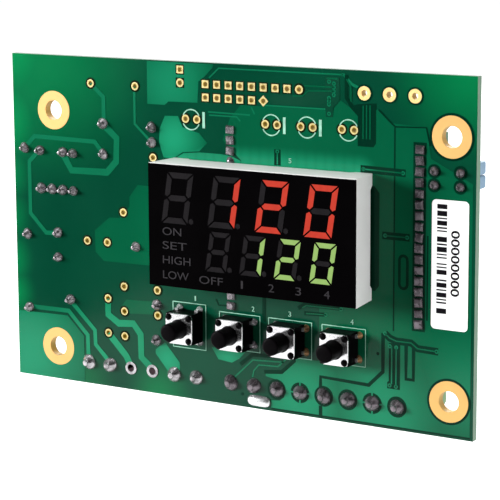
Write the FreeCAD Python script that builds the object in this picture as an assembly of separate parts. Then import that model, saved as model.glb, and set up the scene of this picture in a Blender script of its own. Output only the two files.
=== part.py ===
"""Board-level temperature controller: a bare circuit board with a two-line LED
display and four push buttons on its front, and its terminals, relay, supply
parts and processor card on its rear.

Millimetres. X runs to the right across the display, Z up, and Y from the front
of the board to its rear. The origin is the centre of the four mounting holes,
on the rear face of the board, where it seats on its standoffs.
"""
import FreeCAD, Part
import math
import os

from FreeCAD import Vector

# ---- board ----
BOARD_WIDTH = 101.6
BOARD_HEIGHT = 66.04
BOARD_THICKNESS = 1.6
HOLE_SPACING_X = 86.8
HOLE_SPACING_Z = 48.26
HOLE_DIAMETER = 4.0
HOLE_FROM_LEFT = 10.0
HOLE_FROM_TOP = 11.0
GRID = 2.54

# ---- display ----
DISPLAY_WIDTH = 44.4
DISPLAY_HEIGHT = 23.6
DISPLAY_DEPTH = 7.2
DISPLAY_X = 6.33
DISPLAY_Z = 4.72
SHELL_DRAFT = 0.8
FOOT_HEIGHT = 0.8
FOOT_WIDTH = 3.4
FOOT_RISE = 2.2
FOOT_SLOPE = 0.9
FACE_RIM = 0.1
FACE_THICKNESS = 0.3
SEGMENT_PROUD = 0.06
CARRIER_THICKNESS = 1.0
CARRIER_INSET = 1.3
DISPLAY_PIN_ROWS = 17.78
DISPLAY_PINS_PER_ROW = 6
DISPLAY_PIN_SIZE = 0.5
DISPLAY_PIN_SHIFT = -3.0

# ---- push buttons ----
BUTTON_FIRST_X = -11.83
BUTTON_PITCH = 11.26
BUTTON_ABOVE_TERMINALS = 10.33
BUTTON_SIZE = 6.0
BUTTON_BASE_HEIGHT = 3.1
COVER_THICKNESS = 0.3
BUTTON_HEIGHT = 8.0
PLUNGER_DIAMETER = 3.5
FLANGE_DIAMETER = 4.5
FLANGE_THICKNESS = 0.7
FLANGE_SIDES = 12
BUTTON_TRAVEL = 0.25
PLUNGER_CLEARANCE = 0.08
PRESSED_GAP = 0.02
STAKE_DIAMETER = 1.2
STAKE_HEIGHT = 0.25
STAKE_SPACING = 4.5
STAKE_SIDES = 6
LEG_SPREAD = 6.5
LEG_SPACING = 4.5
LEG_WIDTH = 0.7
LEG_THICKNESS = 0.3
LEG_HEIGHT = 1.3
DOME_THICKNESS = 0.12
DOME_WIDTH = 1.8
DOME_RISE = 0.55
DOME_FLAT = 0.8
DOME_SEAT = 0.25

# ---- terminal blocks ----
TERMINAL_PITCH = 5.08
POWER_WAYS = 6
SIGNAL_WAYS = 8
POWER_FIRST_X = -35.87
SIGNAL_FIRST_X = -2.55
TERMINAL_Z = -26.5
BLOCK_HEIGHT = 14.0
BLOCK_FRONT = 3.9
BLOCK_BACK = 5.2
BLOCK_END_WALL = 0.25
BLOCK_CHAMFER = 1.6
ENTRY_WIDTH = 3.6
ENTRY_HEIGHT = 3.9
ENTRY_FLOOR = 3.6
ENTRY_DEPTH = 7.2
WELL_SIZE = 4.0
WELL_FLOOR = 9.4
CAGE_WALL = 0.45
SCREW_HEAD_DIAMETER = 3.6
SCREW_HEAD_HEIGHT = 1.5
SCREW_HEAD_SIDES = 10
SCREW_SHANK = 2.2
SCREW_SLOT = 0.6
TERMINAL_PIN = 0.9

# ---- processor card and its two pin strips ----
CARD_PITCH = 2.0
LEFT_STRIP_X = -2.4
LEFT_STRIP_PINS = 18
LEFT_STRIP_TOP = 22.66
RIGHT_STRIP_X = 37.2
RIGHT_STRIP_PINS = 17
RIGHT_STRIP_TOP = 21.48
STRIP_WIDTH = 2.0
CARD_STANDOFF = 7.0
CARD_THICKNESS = 1.2
CARD_MARGIN = 1.0
CARD_PIN_SIZE = 0.5
CHIP_SIZE = 10.0
CHIP_THICKNESS = 1.4
CHIP_LIFT = 0.1
CHIP_LEAD_REACH = 1.0
CRYSTAL_LENGTH = 11.0
CRYSTAL_WIDTH = 4.6
CRYSTAL_HEIGHT = 3.5
CHIP_OFFSET = (-5.0, 3.0)
CHIP_LEAD_CORNER = 1.0
CRYSTAL_OFFSET = (10.0, -8.0)

# ---- solder ----
JOINT_RADIUS = 0.95
TERMINAL_JOINT_RADIUS = 1.4
JOINT_TIP_RADIUS = 0.4
JOINT_HEIGHT = 1.3
LOW_JOINT_HEIGHT = 0.6
REAR_JOINT_RADIUS = 0.8
REAR_JOINT_HEIGHT = 1.0
JOINT_SIDES = 6
HOLE_SIDES = 6

# ---- other parts on the rear, at (x, z) of their leads ----
LEAD_SIZE = 0.6
FILM_CAP_LEADS_X = (40.05, 45.13)
FILM_CAP_ROWS_Z = (17.8, 15.26)
FILM_CAP_SIZE = (7.4, 2.4, 7.5)
INPUT_CAP_LEADS = ((-50.6, -1.5), (-50.6, -16.76))
INPUT_CAP_SIZE = (5.0, 18.0, 11.0)
SMOOTHING_LEADS = ((-43.05, -0.66), (-43.05, -5.67))
SMOOTHING_DIAMETER = 9.8
SMOOTHING_HEIGHT = 16.0
RECTIFIER_FIRST_X = -46.84
RECTIFIER_PITCH = 2.63
RECTIFIER_Z = 8.16
RECTIFIER_SIZE = (13.0, 3.5, 10.0)
RECTIFIER_CORNER = 2.5
FILTER_LEADS = ((-50.81, 16.1), (-47.07, 15.8))
FILTER_DIAMETER = 8.0
FILTER_HEIGHT = 11.5
CERAMIC_LEADS = ((-41.4, 15.8), (-38.95, 15.7))
CERAMIC_SIZE = (5.0, 2.6, 5.2)
VARISTOR_LEADS = ((-31.6, 16.07), (-31.6, 22.12))
VARISTOR_DIAMETER = 9.0
VARISTOR_THICKNESS = 3.4
RELAY_SIZE = (24.2, 9.4, 12.2)
RELAY_X = -29.8
RELAY_CLEARANCE = 0.3
RELAY_LEADS = ((-10.4, 2.2), (10.4, 3.3), (10.2, -3.8))
BYPASS_LEADS = ((-20.1, 22.06), (-20.1, 19.09))
BYPASS_SIZE = (3.0, 5.4, 6.0)
BODY_CHAMFER = 0.5
RESISTOR_LEADS = ((-24.13, -1.83), (-13.97, -1.83))
RESISTOR_DIAMETER = 3.0
RESISTOR_LENGTH = 6.6
RESISTOR_LIFT = 0.4
BEAD_CENTRE = (3.54, -29.3)
BEAD_SIZE = (4.5, 2.0, 0.7)

# ---- open plated holes: (x, z) ----
HEADER_FIRST = (-7.8, 31.05)
HEADER_TOP_COUNT = 9
HEADER_LOWER_COUNT = 6
JUMPER = (-13.47, 33.58)
LARGE_PAD_FIRST = (25.98, 31.03)
LARGE_PAD_PITCH = 5.08
LAMP_FIRST_X = (-12.29, 5.3, 12.86, 21.43)
LAMP_Z = 24.19
SPARE_HOLES = (
    (-34.32, 29.94), (-23.84, 29.87), (-19.85, 16.17), (-27.02, 4.81),
    (-35.77, -1.61), (-30.93, -1.55), (-27.08, -10.08), (-19.22, -10.06),
    (-31.0, -12.89), (-27.08, -15.11), (-19.22, -15.08), (-31.0, -19.92),
    (-27.08, -20.17),
)
HOLE_SMALL = 1.0
HOLE_LARGE = 1.4

# ---- places worked out from the sizes ----
FRONT = -BOARD_THICKNESS
LEFT = -HOLE_SPACING_X / 2 - HOLE_FROM_LEFT
TOP = HOLE_SPACING_Z / 2 + HOLE_FROM_TOP
BUTTON_Z = TERMINAL_Z + BUTTON_ABOVE_TERMINALS
RELAY_Z = TERMINAL_Z + BLOCK_BACK + RELAY_CLEARANCE + RELAY_SIZE[1] / 2
BUTTON_XS = [BUTTON_FIRST_X + i * BUTTON_PITCH for i in range(4)]
POWER_XS = [POWER_FIRST_X + i * TERMINAL_PITCH for i in range(POWER_WAYS)]
SIGNAL_XS = [SIGNAL_FIRST_X + i * TERMINAL_PITCH for i in range(SIGNAL_WAYS)]
RECTIFIER_XS = [RECTIFIER_FIRST_X + i * RECTIFIER_PITCH for i in range(4)]
MOUNT_HOLES = [
    (sx * HOLE_SPACING_X / 2, sz * HOLE_SPACING_Z / 2) for sx in (-1, 1) for sz in (-1, 1)
]

nodes = {}


# ---- forms ----
def block(x0, x1, y0, y1, z0, z1):
    return Part.makeBox(x1 - x0, y1 - y0, z1 - z0, Vector(x0, y0, z0))


def centred(x, z, width, height, y0, y1):
    """A block about (x, z), from y0 to y1."""
    return block(x - width / 2, x + width / 2, y0, y1, z - height / 2, z + height / 2)


def rod(x, z, y0, y1, radius):
    return Part.makeCylinder(radius, y1 - y0, Vector(x, y0, z), Vector(0, 1, 0))


def plate(outline, y0, y1):
    """An outline in X and Z, from y0 to y1."""
    points = [Vector(x, y0, z) for x, z in outline]
    return Part.Face(Part.makePolygon(points + points[:1])).extrude(Vector(0, y1 - y0, 0))


def bar(profile, x0, x1):
    """A profile in Y and Z, from x0 to x1."""
    points = [Vector(x0, y, z) for y, z in profile]
    return Part.Face(Part.makePolygon(points + points[:1])).extrude(Vector(x1 - x0, 0, 0))


def rib(profile, z0, z1):
    """A profile in X and Y, from z0 to z1."""
    points = [Vector(x, y, z0) for x, y in profile]
    return Part.Face(Part.makePolygon(points + points[:1])).extrude(Vector(0, 0, z1 - z0))


def ring_points(x, z, radius, sides):
    step = 2 * math.pi / sides
    return [(x + radius * math.cos((i + 0.5) * step), z + radius * math.sin((i + 0.5) * step))
            for i in range(sides)]


def prism(x, z, y0, y1, radius, sides):
    return plate(ring_points(x, z, radius, sides), y0, y1)


def cone(x, z, y_base, y_tip, base_radius, tip_radius):
    """A small solder cone with flat sides, standing on the board."""
    base, tip = [[Vector(px, y, pz) for px, pz in ring_points(x, z, radius, JOINT_SIDES)]
                 for y, radius in ((y_base, base_radius), (y_tip, tip_radius))]
    faces = [Part.Face(Part.makePolygon(ring + ring[:1])) for ring in (base, tip)]
    for i in range(JOINT_SIDES):
        j = (i + 1) % JOINT_SIDES
        faces.append(Part.Face(Part.makePolygon([base[i], base[j], tip[j], tip[i], base[i]])))
    return Part.Solid(Part.Shell(faces))


def node(name, *solids):
    nodes[name] = solids[0] if len(solids) == 1 else Part.makeCompound(list(solids))


def square_leads(places, size, y0, y1):
    return [centred(x, z, size, size, y0, y1) for x, z in places]


# ---- where every lead passes through the board ----
strip_left = [(LEFT_STRIP_X, LEFT_STRIP_TOP - i * CARD_PITCH) for i in range(LEFT_STRIP_PINS)]
strip_right = [(RIGHT_STRIP_X, RIGHT_STRIP_TOP - i * CARD_PITCH) for i in range(RIGHT_STRIP_PINS)]
display_pins = [
    (DISPLAY_X + DISPLAY_PIN_SHIFT + GRID * i, DISPLAY_Z + row * DISPLAY_PIN_ROWS / 2)
    for row in (-1, 1) for i in range(DISPLAY_PINS_PER_ROW)
]
film_leads = [(x, z) for z in FILM_CAP_ROWS_Z for x in FILM_CAP_LEADS_X]
terminal_places = [(x, TERMINAL_Z) for x in POWER_XS + SIGNAL_XS]
small_leads = [
    *INPUT_CAP_LEADS, *SMOOTHING_LEADS, *FILTER_LEADS, *CERAMIC_LEADS, *VARISTOR_LEADS,
    *BYPASS_LEADS, *RESISTOR_LEADS, *film_leads, *[(x, RECTIFIER_Z) for x in RECTIFIER_XS],
    *[(RELAY_X + dx, RELAY_Z + dz) for dx, dz in RELAY_LEADS],
]


def under_display(x, z, margin):
    return (abs(x - DISPLAY_X) < DISPLAY_WIDTH / 2 + margin
            and abs(z - DISPLAY_Z) < DISPLAY_HEIGHT / 2 + margin)


# ---- push buttons ----
# A 6 mm tactile switch. The first is turned a quarter turn on the board.
BASE_TOP = FRONT - BUTTON_BASE_HEIGHT
COVER_TOP = BASE_TOP - COVER_THICKNESS
DOME_TOP = BASE_TOP + FLANGE_THICKNESS + BUTTON_TRAVEL + PRESSED_GAP
WELL_BOTTOM = DOME_TOP + DOME_RISE
HALF_BUTTON = BUTTON_SIZE / 2
FLANGE_RADIUS = FLANGE_DIAMETER / 2
STEM_RADIUS = PLUNGER_DIAMETER / 2


def button_base(x):
    """The moulded base with its round well."""
    base = centred(x, BUTTON_Z, BUTTON_SIZE, BUTTON_SIZE, BASE_TOP, FRONT)
    return base.cut(rod(x, BUTTON_Z, BASE_TOP, WELL_BOTTOM, FLANGE_RADIUS + PLUNGER_CLEARANCE))


def button_cover(x):
    """The metal cover with its round bore, held by four flattened stakes."""
    cover = centred(x, BUTTON_Z, BUTTON_SIZE, BUTTON_SIZE, COVER_TOP, BASE_TOP)
    cover = cover.cut(rod(x, BUTTON_Z, COVER_TOP, BASE_TOP, STEM_RADIUS + PLUNGER_CLEARANCE))
    reach = STAKE_SPACING / 2
    for sx, sz in ((-1, -1), (-1, 1), (1, -1), (1, 1)):
        cover = cover.fuse(prism(x + sx * reach, BUTTON_Z + sz * reach, COVER_TOP - STAKE_HEIGHT,
                                 COVER_TOP, STAKE_DIAMETER / 2, STAKE_SIDES))
    return cover


def button_plunger(x):
    """The round plunger, kept in by a flange under the cover."""
    stem = rod(x, BUTTON_Z, FRONT - BUTTON_HEIGHT, BASE_TOP, STEM_RADIUS)
    return stem.fuse(prism(x, BUTTON_Z, BASE_TOP, BASE_TOP + FLANGE_THICKNESS,
                           FLANGE_RADIUS, FLANGE_SIDES))


def button_dome(x):
    """The arched spring strip on the floor of the well."""
    outer = [(-FLANGE_RADIUS, WELL_BOTTOM), (-DOME_FLAT, DOME_TOP),
             (DOME_FLAT, DOME_TOP), (FLANGE_RADIUS, WELL_BOTTOM)]
    inner = [(FLANGE_RADIUS - DOME_SEAT, WELL_BOTTOM), (DOME_FLAT, DOME_TOP + DOME_THICKNESS),
             (-DOME_FLAT, DOME_TOP + DOME_THICKNESS), (DOME_SEAT - FLANGE_RADIUS, WELL_BOTTOM)]
    profile = [(x + px, y) for px, y in outer + inner]
    return rib(profile, BUTTON_Z - DOME_WIDTH / 2, BUTTON_Z + DOME_WIDTH / 2)


def button_legs(x):
    """Four bent legs, from the sides of the base down through the board."""
    y_top = FRONT - LEG_HEIGHT
    inner = LEG_SPREAD / 2 - LEG_THICKNESS / 2
    outer = LEG_SPREAD / 2 + LEG_THICKNESS / 2
    legs = []
    for side in (-1, 1):
        outline = [(HALF_BUTTON, y_top), (outer, y_top), (outer, 0), (inner, 0),
                   (inner, y_top + LEG_THICKNESS), (HALF_BUTTON, y_top + LEG_THICKNESS)]
        profile = [(x + side * px, y) for px, y in outline]
        for row in (-1, 1):
            z_middle = BUTTON_Z + row * LEG_SPACING / 2
            legs.append(rib(profile, z_middle - LEG_WIDTH / 2, z_middle + LEG_WIDTH / 2))
    return legs


leg_boxes = []
for number, x in enumerate(BUTTON_XS, 1):
    pieces = {
        "base": [button_base(x)], "cover": [button_cover(x)], "plunger": [button_plunger(x)],
        "dome": [button_dome(x)], "legs": button_legs(x),
    }
    for piece, solids in pieces.items():
        if number == 1:
            for solid in solids:
                solid.rotate(Vector(x, 0, BUTTON_Z), Vector(0, 1, 0), 90)
        node(f"button_{number}_{piece}", *solids)
    leg_boxes += [leg.BoundBox for leg in pieces["legs"]]
leg_holes = [block(b.XMin, b.XMax, FRONT, 0, b.ZMin, b.ZMax) for b in leg_boxes]
leg_places = [(b.Center.x, b.Center.z) for b in leg_boxes]

# ---- circuit board ----
board = block(LEFT, LEFT + BOARD_WIDTH, FRONT, 0, TOP - BOARD_HEIGHT, TOP)
drilled = [(HEADER_FIRST[0] + i * GRID, HEADER_FIRST[1], HOLE_SMALL)
           for i in range(HEADER_TOP_COUNT)]
drilled += [(HEADER_FIRST[0] + i * GRID, HEADER_FIRST[1] - GRID, HOLE_SMALL)
            for i in range(HEADER_LOWER_COUNT)]
drilled += [(JUMPER[0], JUMPER[1] - i * GRID, HOLE_SMALL) for i in range(2)]
drilled += [(LARGE_PAD_FIRST[0] + i * LARGE_PAD_PITCH, LARGE_PAD_FIRST[1], HOLE_LARGE)
            for i in range(3)]
drilled += [(x + i * GRID, LAMP_Z, HOLE_SMALL) for x in LAMP_FIRST_X for i in range(2)]
drilled += [(x, z, HOLE_SMALL) for x, z in SPARE_HOLES]
holes = [rod(x, z, FRONT, 0, HOLE_DIAMETER / 2) for x, z in MOUNT_HOLES]
holes += [prism(x, z, FRONT, 0, diameter / 2, HOLE_SIDES) for x, z, diameter in drilled]
holes += square_leads(terminal_places, TERMINAL_PIN, FRONT, 0)
holes += square_leads(strip_left + strip_right, CARD_PIN_SIZE, FRONT, 0)
holes += square_leads(display_pins, DISPLAY_PIN_SIZE, FRONT, 0)
holes += square_leads(small_leads, LEAD_SIZE, FRONT, 0)
holes += leg_holes
node("circuit_board", board.cut(Part.makeCompound(holes)))

# ---- display ----
# The shell narrows towards the board, as its mould lets it, and the printed face covers its
# front.
x0, x1 = DISPLAY_X - DISPLAY_WIDTH / 2, DISPLAY_X + DISPLAY_WIDTH / 2
z0, z1 = DISPLAY_Z - DISPLAY_HEIGHT / 2, DISPLAY_Z + DISPLAY_HEIGHT / 2
BACK_HALF = DISPLAY_WIDTH / 2 - SHELL_DRAFT
BODY_BACK = FRONT - FOOT_HEIGHT
BODY_FRONT = BODY_BACK - DISPLAY_DEPTH
FACE_BACK = BODY_FRONT + FACE_THICKNESS
carrier = block(DISPLAY_X - BACK_HALF + CARRIER_INSET, DISPLAY_X + BACK_HALF - CARRIER_INSET,
                BODY_BACK - CARRIER_THICKNESS, BODY_BACK, z0 + CARRIER_INSET, z1 - CARRIER_INSET)
housing = rib([(x0, FACE_BACK), (x1, FACE_BACK), (DISPLAY_X + BACK_HALF, BODY_BACK),
               (DISPLAY_X - BACK_HALF, BODY_BACK)], z0, z1).cut(carrier)
for sx in (-1, 1):
    for sz in (-1, 1):
        xc, zc = DISPLAY_X + sx * BACK_HALF, DISPLAY_Z + sz * DISPLAY_HEIGHT / 2
        below = [(xc, BODY_BACK), (xc - sx * (FOOT_WIDTH + FOOT_SLOPE), BODY_BACK),
                 (xc - sx * FOOT_WIDTH, FRONT), (xc, FRONT)]
        beside = [(BODY_BACK, zc), (BODY_BACK, zc - sz * (FOOT_RISE + FOOT_SLOPE)),
                  (FRONT, zc - sz * FOOT_RISE), (FRONT, zc)]
        housing = housing.fuse(rib(below, zc, zc - sz * CARRIER_INSET))
        housing = housing.fuse(bar(beside, xc, xc - sx * CARRIER_INSET))
node("display_housing", housing.removeSplitter())
node("display_carrier", carrier)
node("display_face", block(x0 + FACE_RIM, x1 - FACE_RIM, BODY_FRONT, FACE_BACK,
                           z0 + FACE_RIM, z1 - FACE_RIM))
node("display_pins", *square_leads(display_pins, DISPLAY_PIN_SIZE, BODY_BACK, 0))

# ---- digits: two rows of four, leaning to the right ----
LIT = {"1": "bc", "2": "abged", "0": "abcdef", " ": ""}
ROWS = (
    # name, first x, top z, pitch, width, height, stroke, text, dots from
    ("red", 4.55, 1.5, 10.2, 5.75, 9.75, 1.1, " 120"),
    ("green", 13.85, 12.1, 7.4, 4.5, 7.6, 0.92, " 120"),
)
SLANT = 0.155
SEGMENT_GAP = 0.24
DOT_SIZE = 1.1


def digit_outlines(width, height, stroke):
    """The seven segment outlines of one upright digit, from its lower left corner."""
    gap, middle, tip = SEGMENT_GAP, height / 2, stroke / 2
    upper = [(0, height - gap), (stroke, height - stroke - gap), (stroke, middle + tip + gap),
             (tip, middle + gap), (0, middle + tip)]
    lower = [(px, height - pz) for px, pz in upper]
    top = [(gap, height), (width - gap, height), (width - stroke - gap, height - stroke),
           (stroke + gap, height - stroke)]
    across = [(tip + gap, middle), (stroke + gap, middle + tip),
              (width - stroke - gap, middle + tip), (width - tip - gap, middle),
              (width - stroke - gap, middle - tip), (stroke + gap, middle - tip)]
    return {
        "a": top, "d": [(px, height - pz) for px, pz in top], "g": across,
        "f": upper, "b": [(width - px, pz) for px, pz in upper],
        "e": lower, "c": [(width - px, pz) for px, pz in lower],
    }


segments = {"red": [], "green": [], "unlit": []}
for colour, first, top, pitch, width, height, stroke, text in ROWS:
    for place, figure in enumerate(text):
        left = x0 + first + place * pitch - SLANT * height
        base = z1 - top - height
        for letter, outline in digit_outlines(width, height, stroke).items():
            group = colour if letter in LIT[figure] else "unlit"
            leaned = [(left + px + SLANT * pz, base + pz) for px, pz in outline]
            segments[group].append(plate(leaned, BODY_FRONT - SEGMENT_PROUD, BODY_FRONT))
        if place < len(text) - 1:
            dot_x, dot_z = left + width + DOT_SIZE * 0.75, base + DOT_SIZE * 0.6
            segments["unlit"].append(prism(dot_x, dot_z, BODY_FRONT - SEGMENT_PROUD, BODY_FRONT,
                                           DOT_SIZE / 2, JOINT_SIDES))
node("red_segments", *segments["red"])
node("green_segments", *segments["green"])
node("unlit_segments", *segments["unlit"])

# ---- terminal blocks ----
def block_profile():
    front, back = TERMINAL_Z - BLOCK_FRONT, TERMINAL_Z + BLOCK_BACK
    return [(0, front), (BLOCK_HEIGHT - 2 * BLOCK_CHAMFER, front),
            (BLOCK_HEIGHT, front + BLOCK_CHAMFER), (BLOCK_HEIGHT, back - BLOCK_CHAMFER),
            (BLOCK_HEIGHT - 2 * BLOCK_CHAMFER, back), (0, back)]


def terminal_block(name, places):
    front = TERMINAL_Z - BLOCK_FRONT
    edge = TERMINAL_PITCH / 2 + BLOCK_END_WALL
    body = bar(block_profile(), places[0] - edge, places[-1] + edge)
    cage_half = ENTRY_WIDTH / 2
    cage_top = ENTRY_FLOOR + ENTRY_HEIGHT
    cuts, cages, screws, pins = [], [], [], []
    for x in places:
        entry = block(x - cage_half, x + cage_half, ENTRY_FLOOR, cage_top,
                      front, front + ENTRY_DEPTH)
        well = centred(x, TERMINAL_Z, WELL_SIZE, WELL_SIZE, WELL_FLOOR, BLOCK_HEIGHT)
        neck = centred(x, TERMINAL_Z, SCREW_SHANK, SCREW_SHANK, cage_top, WELL_FLOOR)
        pin_slot = centred(x, TERMINAL_Z, TERMINAL_PIN, TERMINAL_PIN, 0, ENTRY_FLOOR)
        cuts += [entry, well, neck, pin_slot]
        cage = block(x - cage_half, x + cage_half, ENTRY_FLOOR, cage_top,
                     TERMINAL_Z - ENTRY_WIDTH / 2, TERMINAL_Z + ENTRY_WIDTH / 2)
        cage = cage.cut(block(x - cage_half + CAGE_WALL, x + cage_half - CAGE_WALL,
                              ENTRY_FLOOR + CAGE_WALL, cage_top - CAGE_WALL,
                              TERMINAL_Z - ENTRY_WIDTH, TERMINAL_Z + ENTRY_WIDTH))
        cages.append(cage)
        head = prism(x, TERMINAL_Z, WELL_FLOOR, WELL_FLOOR + SCREW_HEAD_HEIGHT,
                     SCREW_HEAD_DIAMETER / 2, SCREW_HEAD_SIDES)
        slot = centred(x, TERMINAL_Z, SCREW_HEAD_DIAMETER, SCREW_SLOT,
                       WELL_FLOOR + SCREW_HEAD_HEIGHT / 2, WELL_FLOOR + SCREW_HEAD_HEIGHT)
        shank = centred(x, TERMINAL_Z, SCREW_SHANK, SCREW_SHANK, cage_top, WELL_FLOOR)
        screws.append(head.cut(slot).fuse(shank))
        pins.append(centred(x, TERMINAL_Z, TERMINAL_PIN, TERMINAL_PIN, FRONT, ENTRY_FLOOR))
    node(f"{name}_housing", body.cut(Part.makeCompound(cuts)))
    node(f"{name}_cages", *cages)
    node(f"{name}_screws", *screws)
    node(f"{name}_pins", *pins)


terminal_block("power_terminals", POWER_XS)
terminal_block("signal_terminals", SIGNAL_XS)

# ---- processor card ----
CARD_REAR = CARD_STANDOFF + CARD_THICKNESS
for name, places in (("left_strip", strip_left), ("right_strip", strip_right)):
    x = places[0][0]
    top = places[0][1] + CARD_PITCH / 2
    base = places[-1][1] - CARD_PITCH / 2
    node(f"{name}_spacer", block(x - STRIP_WIDTH / 2, x + STRIP_WIDTH / 2, 0, CARD_STANDOFF,
                                 base, top))
    node(f"{name}_pins", *square_leads(places, CARD_PIN_SIZE, FRONT, 0))
card_top = max(strip_left[0][1], strip_right[0][1]) + CARD_MARGIN
card_base = min(strip_left[-1][1], strip_right[-1][1]) - CARD_MARGIN
node("processor_card", block(LEFT_STRIP_X - CARD_MARGIN, RIGHT_STRIP_X + CARD_MARGIN,
                             CARD_STANDOFF, CARD_REAR, card_base, card_top))
card_x = (LEFT_STRIP_X + RIGHT_STRIP_X) / 2
card_z = (card_top + card_base) / 2
chip_x, chip_z = card_x + CHIP_OFFSET[0], card_z + CHIP_OFFSET[1]
chip_back = CARD_REAR + CHIP_LIFT
node("processor_chip", centred(chip_x, chip_z, CHIP_SIZE, CHIP_SIZE,
                               chip_back, chip_back + CHIP_THICKNESS))
lead_row = CHIP_SIZE - 2 * CHIP_LEAD_CORNER
reach = (CHIP_SIZE + CHIP_LEAD_REACH) / 2
chip_leads = []
for side in (-1, 1):
    chip_leads.append(centred(chip_x + side * reach, chip_z, CHIP_LEAD_REACH, lead_row,
                              CARD_REAR, chip_back + CHIP_LIFT))
    chip_leads.append(centred(chip_x, chip_z + side * reach, lead_row, CHIP_LEAD_REACH,
                              CARD_REAR, chip_back + CHIP_LIFT))
node("processor_leads", *chip_leads)
node("crystal", centred(card_x + CRYSTAL_OFFSET[0], card_z + CRYSTAL_OFFSET[1],
                        CRYSTAL_LENGTH, CRYSTAL_WIDTH, CARD_REAR, CARD_REAR + CRYSTAL_HEIGHT))

# ---- the other rear parts ----
def midpoint(leads):
    return (sum(x for x, _ in leads) / len(leads), sum(z for _, z in leads) / len(leads))


def moulded(centre, size):
    """A moulded body standing on the board, with its far edges chamfered."""
    width, height, depth = size
    body = centred(centre[0], centre[1], width, height, 0, depth)
    far_edges = [edge for edge in body.Edges if edge.BoundBox.YMin > depth / 2]
    return body.makeChamfer(BODY_CHAMFER, far_edges)


for name, z in zip(("film_capacitor_upper", "film_capacitor_lower"), FILM_CAP_ROWS_Z):
    node(name, moulded((sum(FILM_CAP_LEADS_X) / 2, z), FILM_CAP_SIZE))
node("input_capacitor", moulded(midpoint(INPUT_CAP_LEADS), INPUT_CAP_SIZE))
node("ceramic_capacitor", moulded(midpoint(CERAMIC_LEADS), CERAMIC_SIZE))
node("output_relay", moulded((RELAY_X, RELAY_Z), RELAY_SIZE))
node("bypass_capacitor", moulded(midpoint(BYPASS_LEADS), BYPASS_SIZE))

# The rectifier is a flat block with its plus corner cut.
width, thickness, height = RECTIFIER_SIZE
x = sum(RECTIFIER_XS) / len(RECTIFIER_XS)
node("bridge_rectifier", rib([
    (x - width / 2, 0), (x + width / 2, 0), (x + width / 2, height),
    (x - width / 2 + RECTIFIER_CORNER, height), (x - width / 2, height - RECTIFIER_CORNER),
], RECTIFIER_Z - thickness / 2, RECTIFIER_Z + thickness / 2))

for name, leads, diameter, height in (
        ("smoothing_capacitor", SMOOTHING_LEADS, SMOOTHING_DIAMETER, SMOOTHING_HEIGHT),
        ("filter_capacitor", FILTER_LEADS, FILTER_DIAMETER, FILTER_HEIGHT)):
    x, z = midpoint(leads)
    node(name, rod(x, z, 0, height, diameter / 2))

x, z = midpoint(VARISTOR_LEADS)
node("varistor", Part.makeCylinder(
    VARISTOR_DIAMETER / 2, VARISTOR_THICKNESS,
    Vector(x - VARISTOR_THICKNESS / 2, VARISTOR_DIAMETER / 2, z), Vector(1, 0, 0)))

x, z = midpoint(RESISTOR_LEADS)
resistor_y = RESISTOR_DIAMETER / 2 + RESISTOR_LIFT
node("power_resistor", Part.makeCylinder(
    RESISTOR_DIAMETER / 2, RESISTOR_LENGTH,
    Vector(x - RESISTOR_LENGTH / 2, resistor_y, z), Vector(1, 0, 0)))
wires = []
for side, (lead_x, lead_z) in zip((1, -1), RESISTOR_LEADS):
    end = x - side * RESISTOR_LENGTH / 2
    near, far = sorted((lead_x - side * LEAD_SIZE / 2, end))
    half = LEAD_SIZE / 2
    run = block(near, far, resistor_y - half, resistor_y + half, lead_z - half, lead_z + half)
    drop = centred(lead_x, lead_z, LEAD_SIZE, LEAD_SIZE, FRONT, resistor_y)
    wires.append(run.fuse(drop).removeSplitter())
node("resistor_leads", *wires)

plain_leads = [place for place in small_leads if place not in RESISTOR_LEADS]
node("component_leads", *square_leads(plain_leads, LEAD_SIZE, FRONT, 0))

# ---- solder ----
# Pins under the display are cut flush with the board, and joints at its edge are low.
# Two terminals are left unsoldered.
OPEN_TERMINALS = POWER_XS[2:4]
front_places = strip_left + strip_right + small_leads
front_places += [(x, z) for x, z in terminal_places if x not in OPEN_TERMINALS]
front_joints = []
for x, z in front_places:
    if not under_display(x, z, 0):
        rise = LOW_JOINT_HEIGHT if under_display(x, z, JOINT_RADIUS) else JOINT_HEIGHT
        radius = TERMINAL_JOINT_RADIUS if (x, z) in terminal_places else JOINT_RADIUS
        front_joints.append(cone(x, z, FRONT, FRONT - rise, radius, JOINT_TIP_RADIUS))
bead_width, bead_height, bead_proud = BEAD_SIZE
front_joints.append(centred(BEAD_CENTRE[0], BEAD_CENTRE[1], bead_width, bead_height,
                            FRONT - bead_proud, FRONT))
node("front_solder", *front_joints)
node("rear_solder", *[cone(x, z, 0, REAR_JOINT_HEIGHT, REAR_JOINT_RADIUS, JOINT_TIP_RADIUS)
                      for x, z in display_pins + leg_places])

os.makedirs("parts", exist_ok=True)
for name, shape in nodes.items():
    shape.exportStep(f"parts/{name}.step")
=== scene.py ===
import math
import random

import bmesh
import bpy
from mathutils import Matrix, Vector


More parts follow.
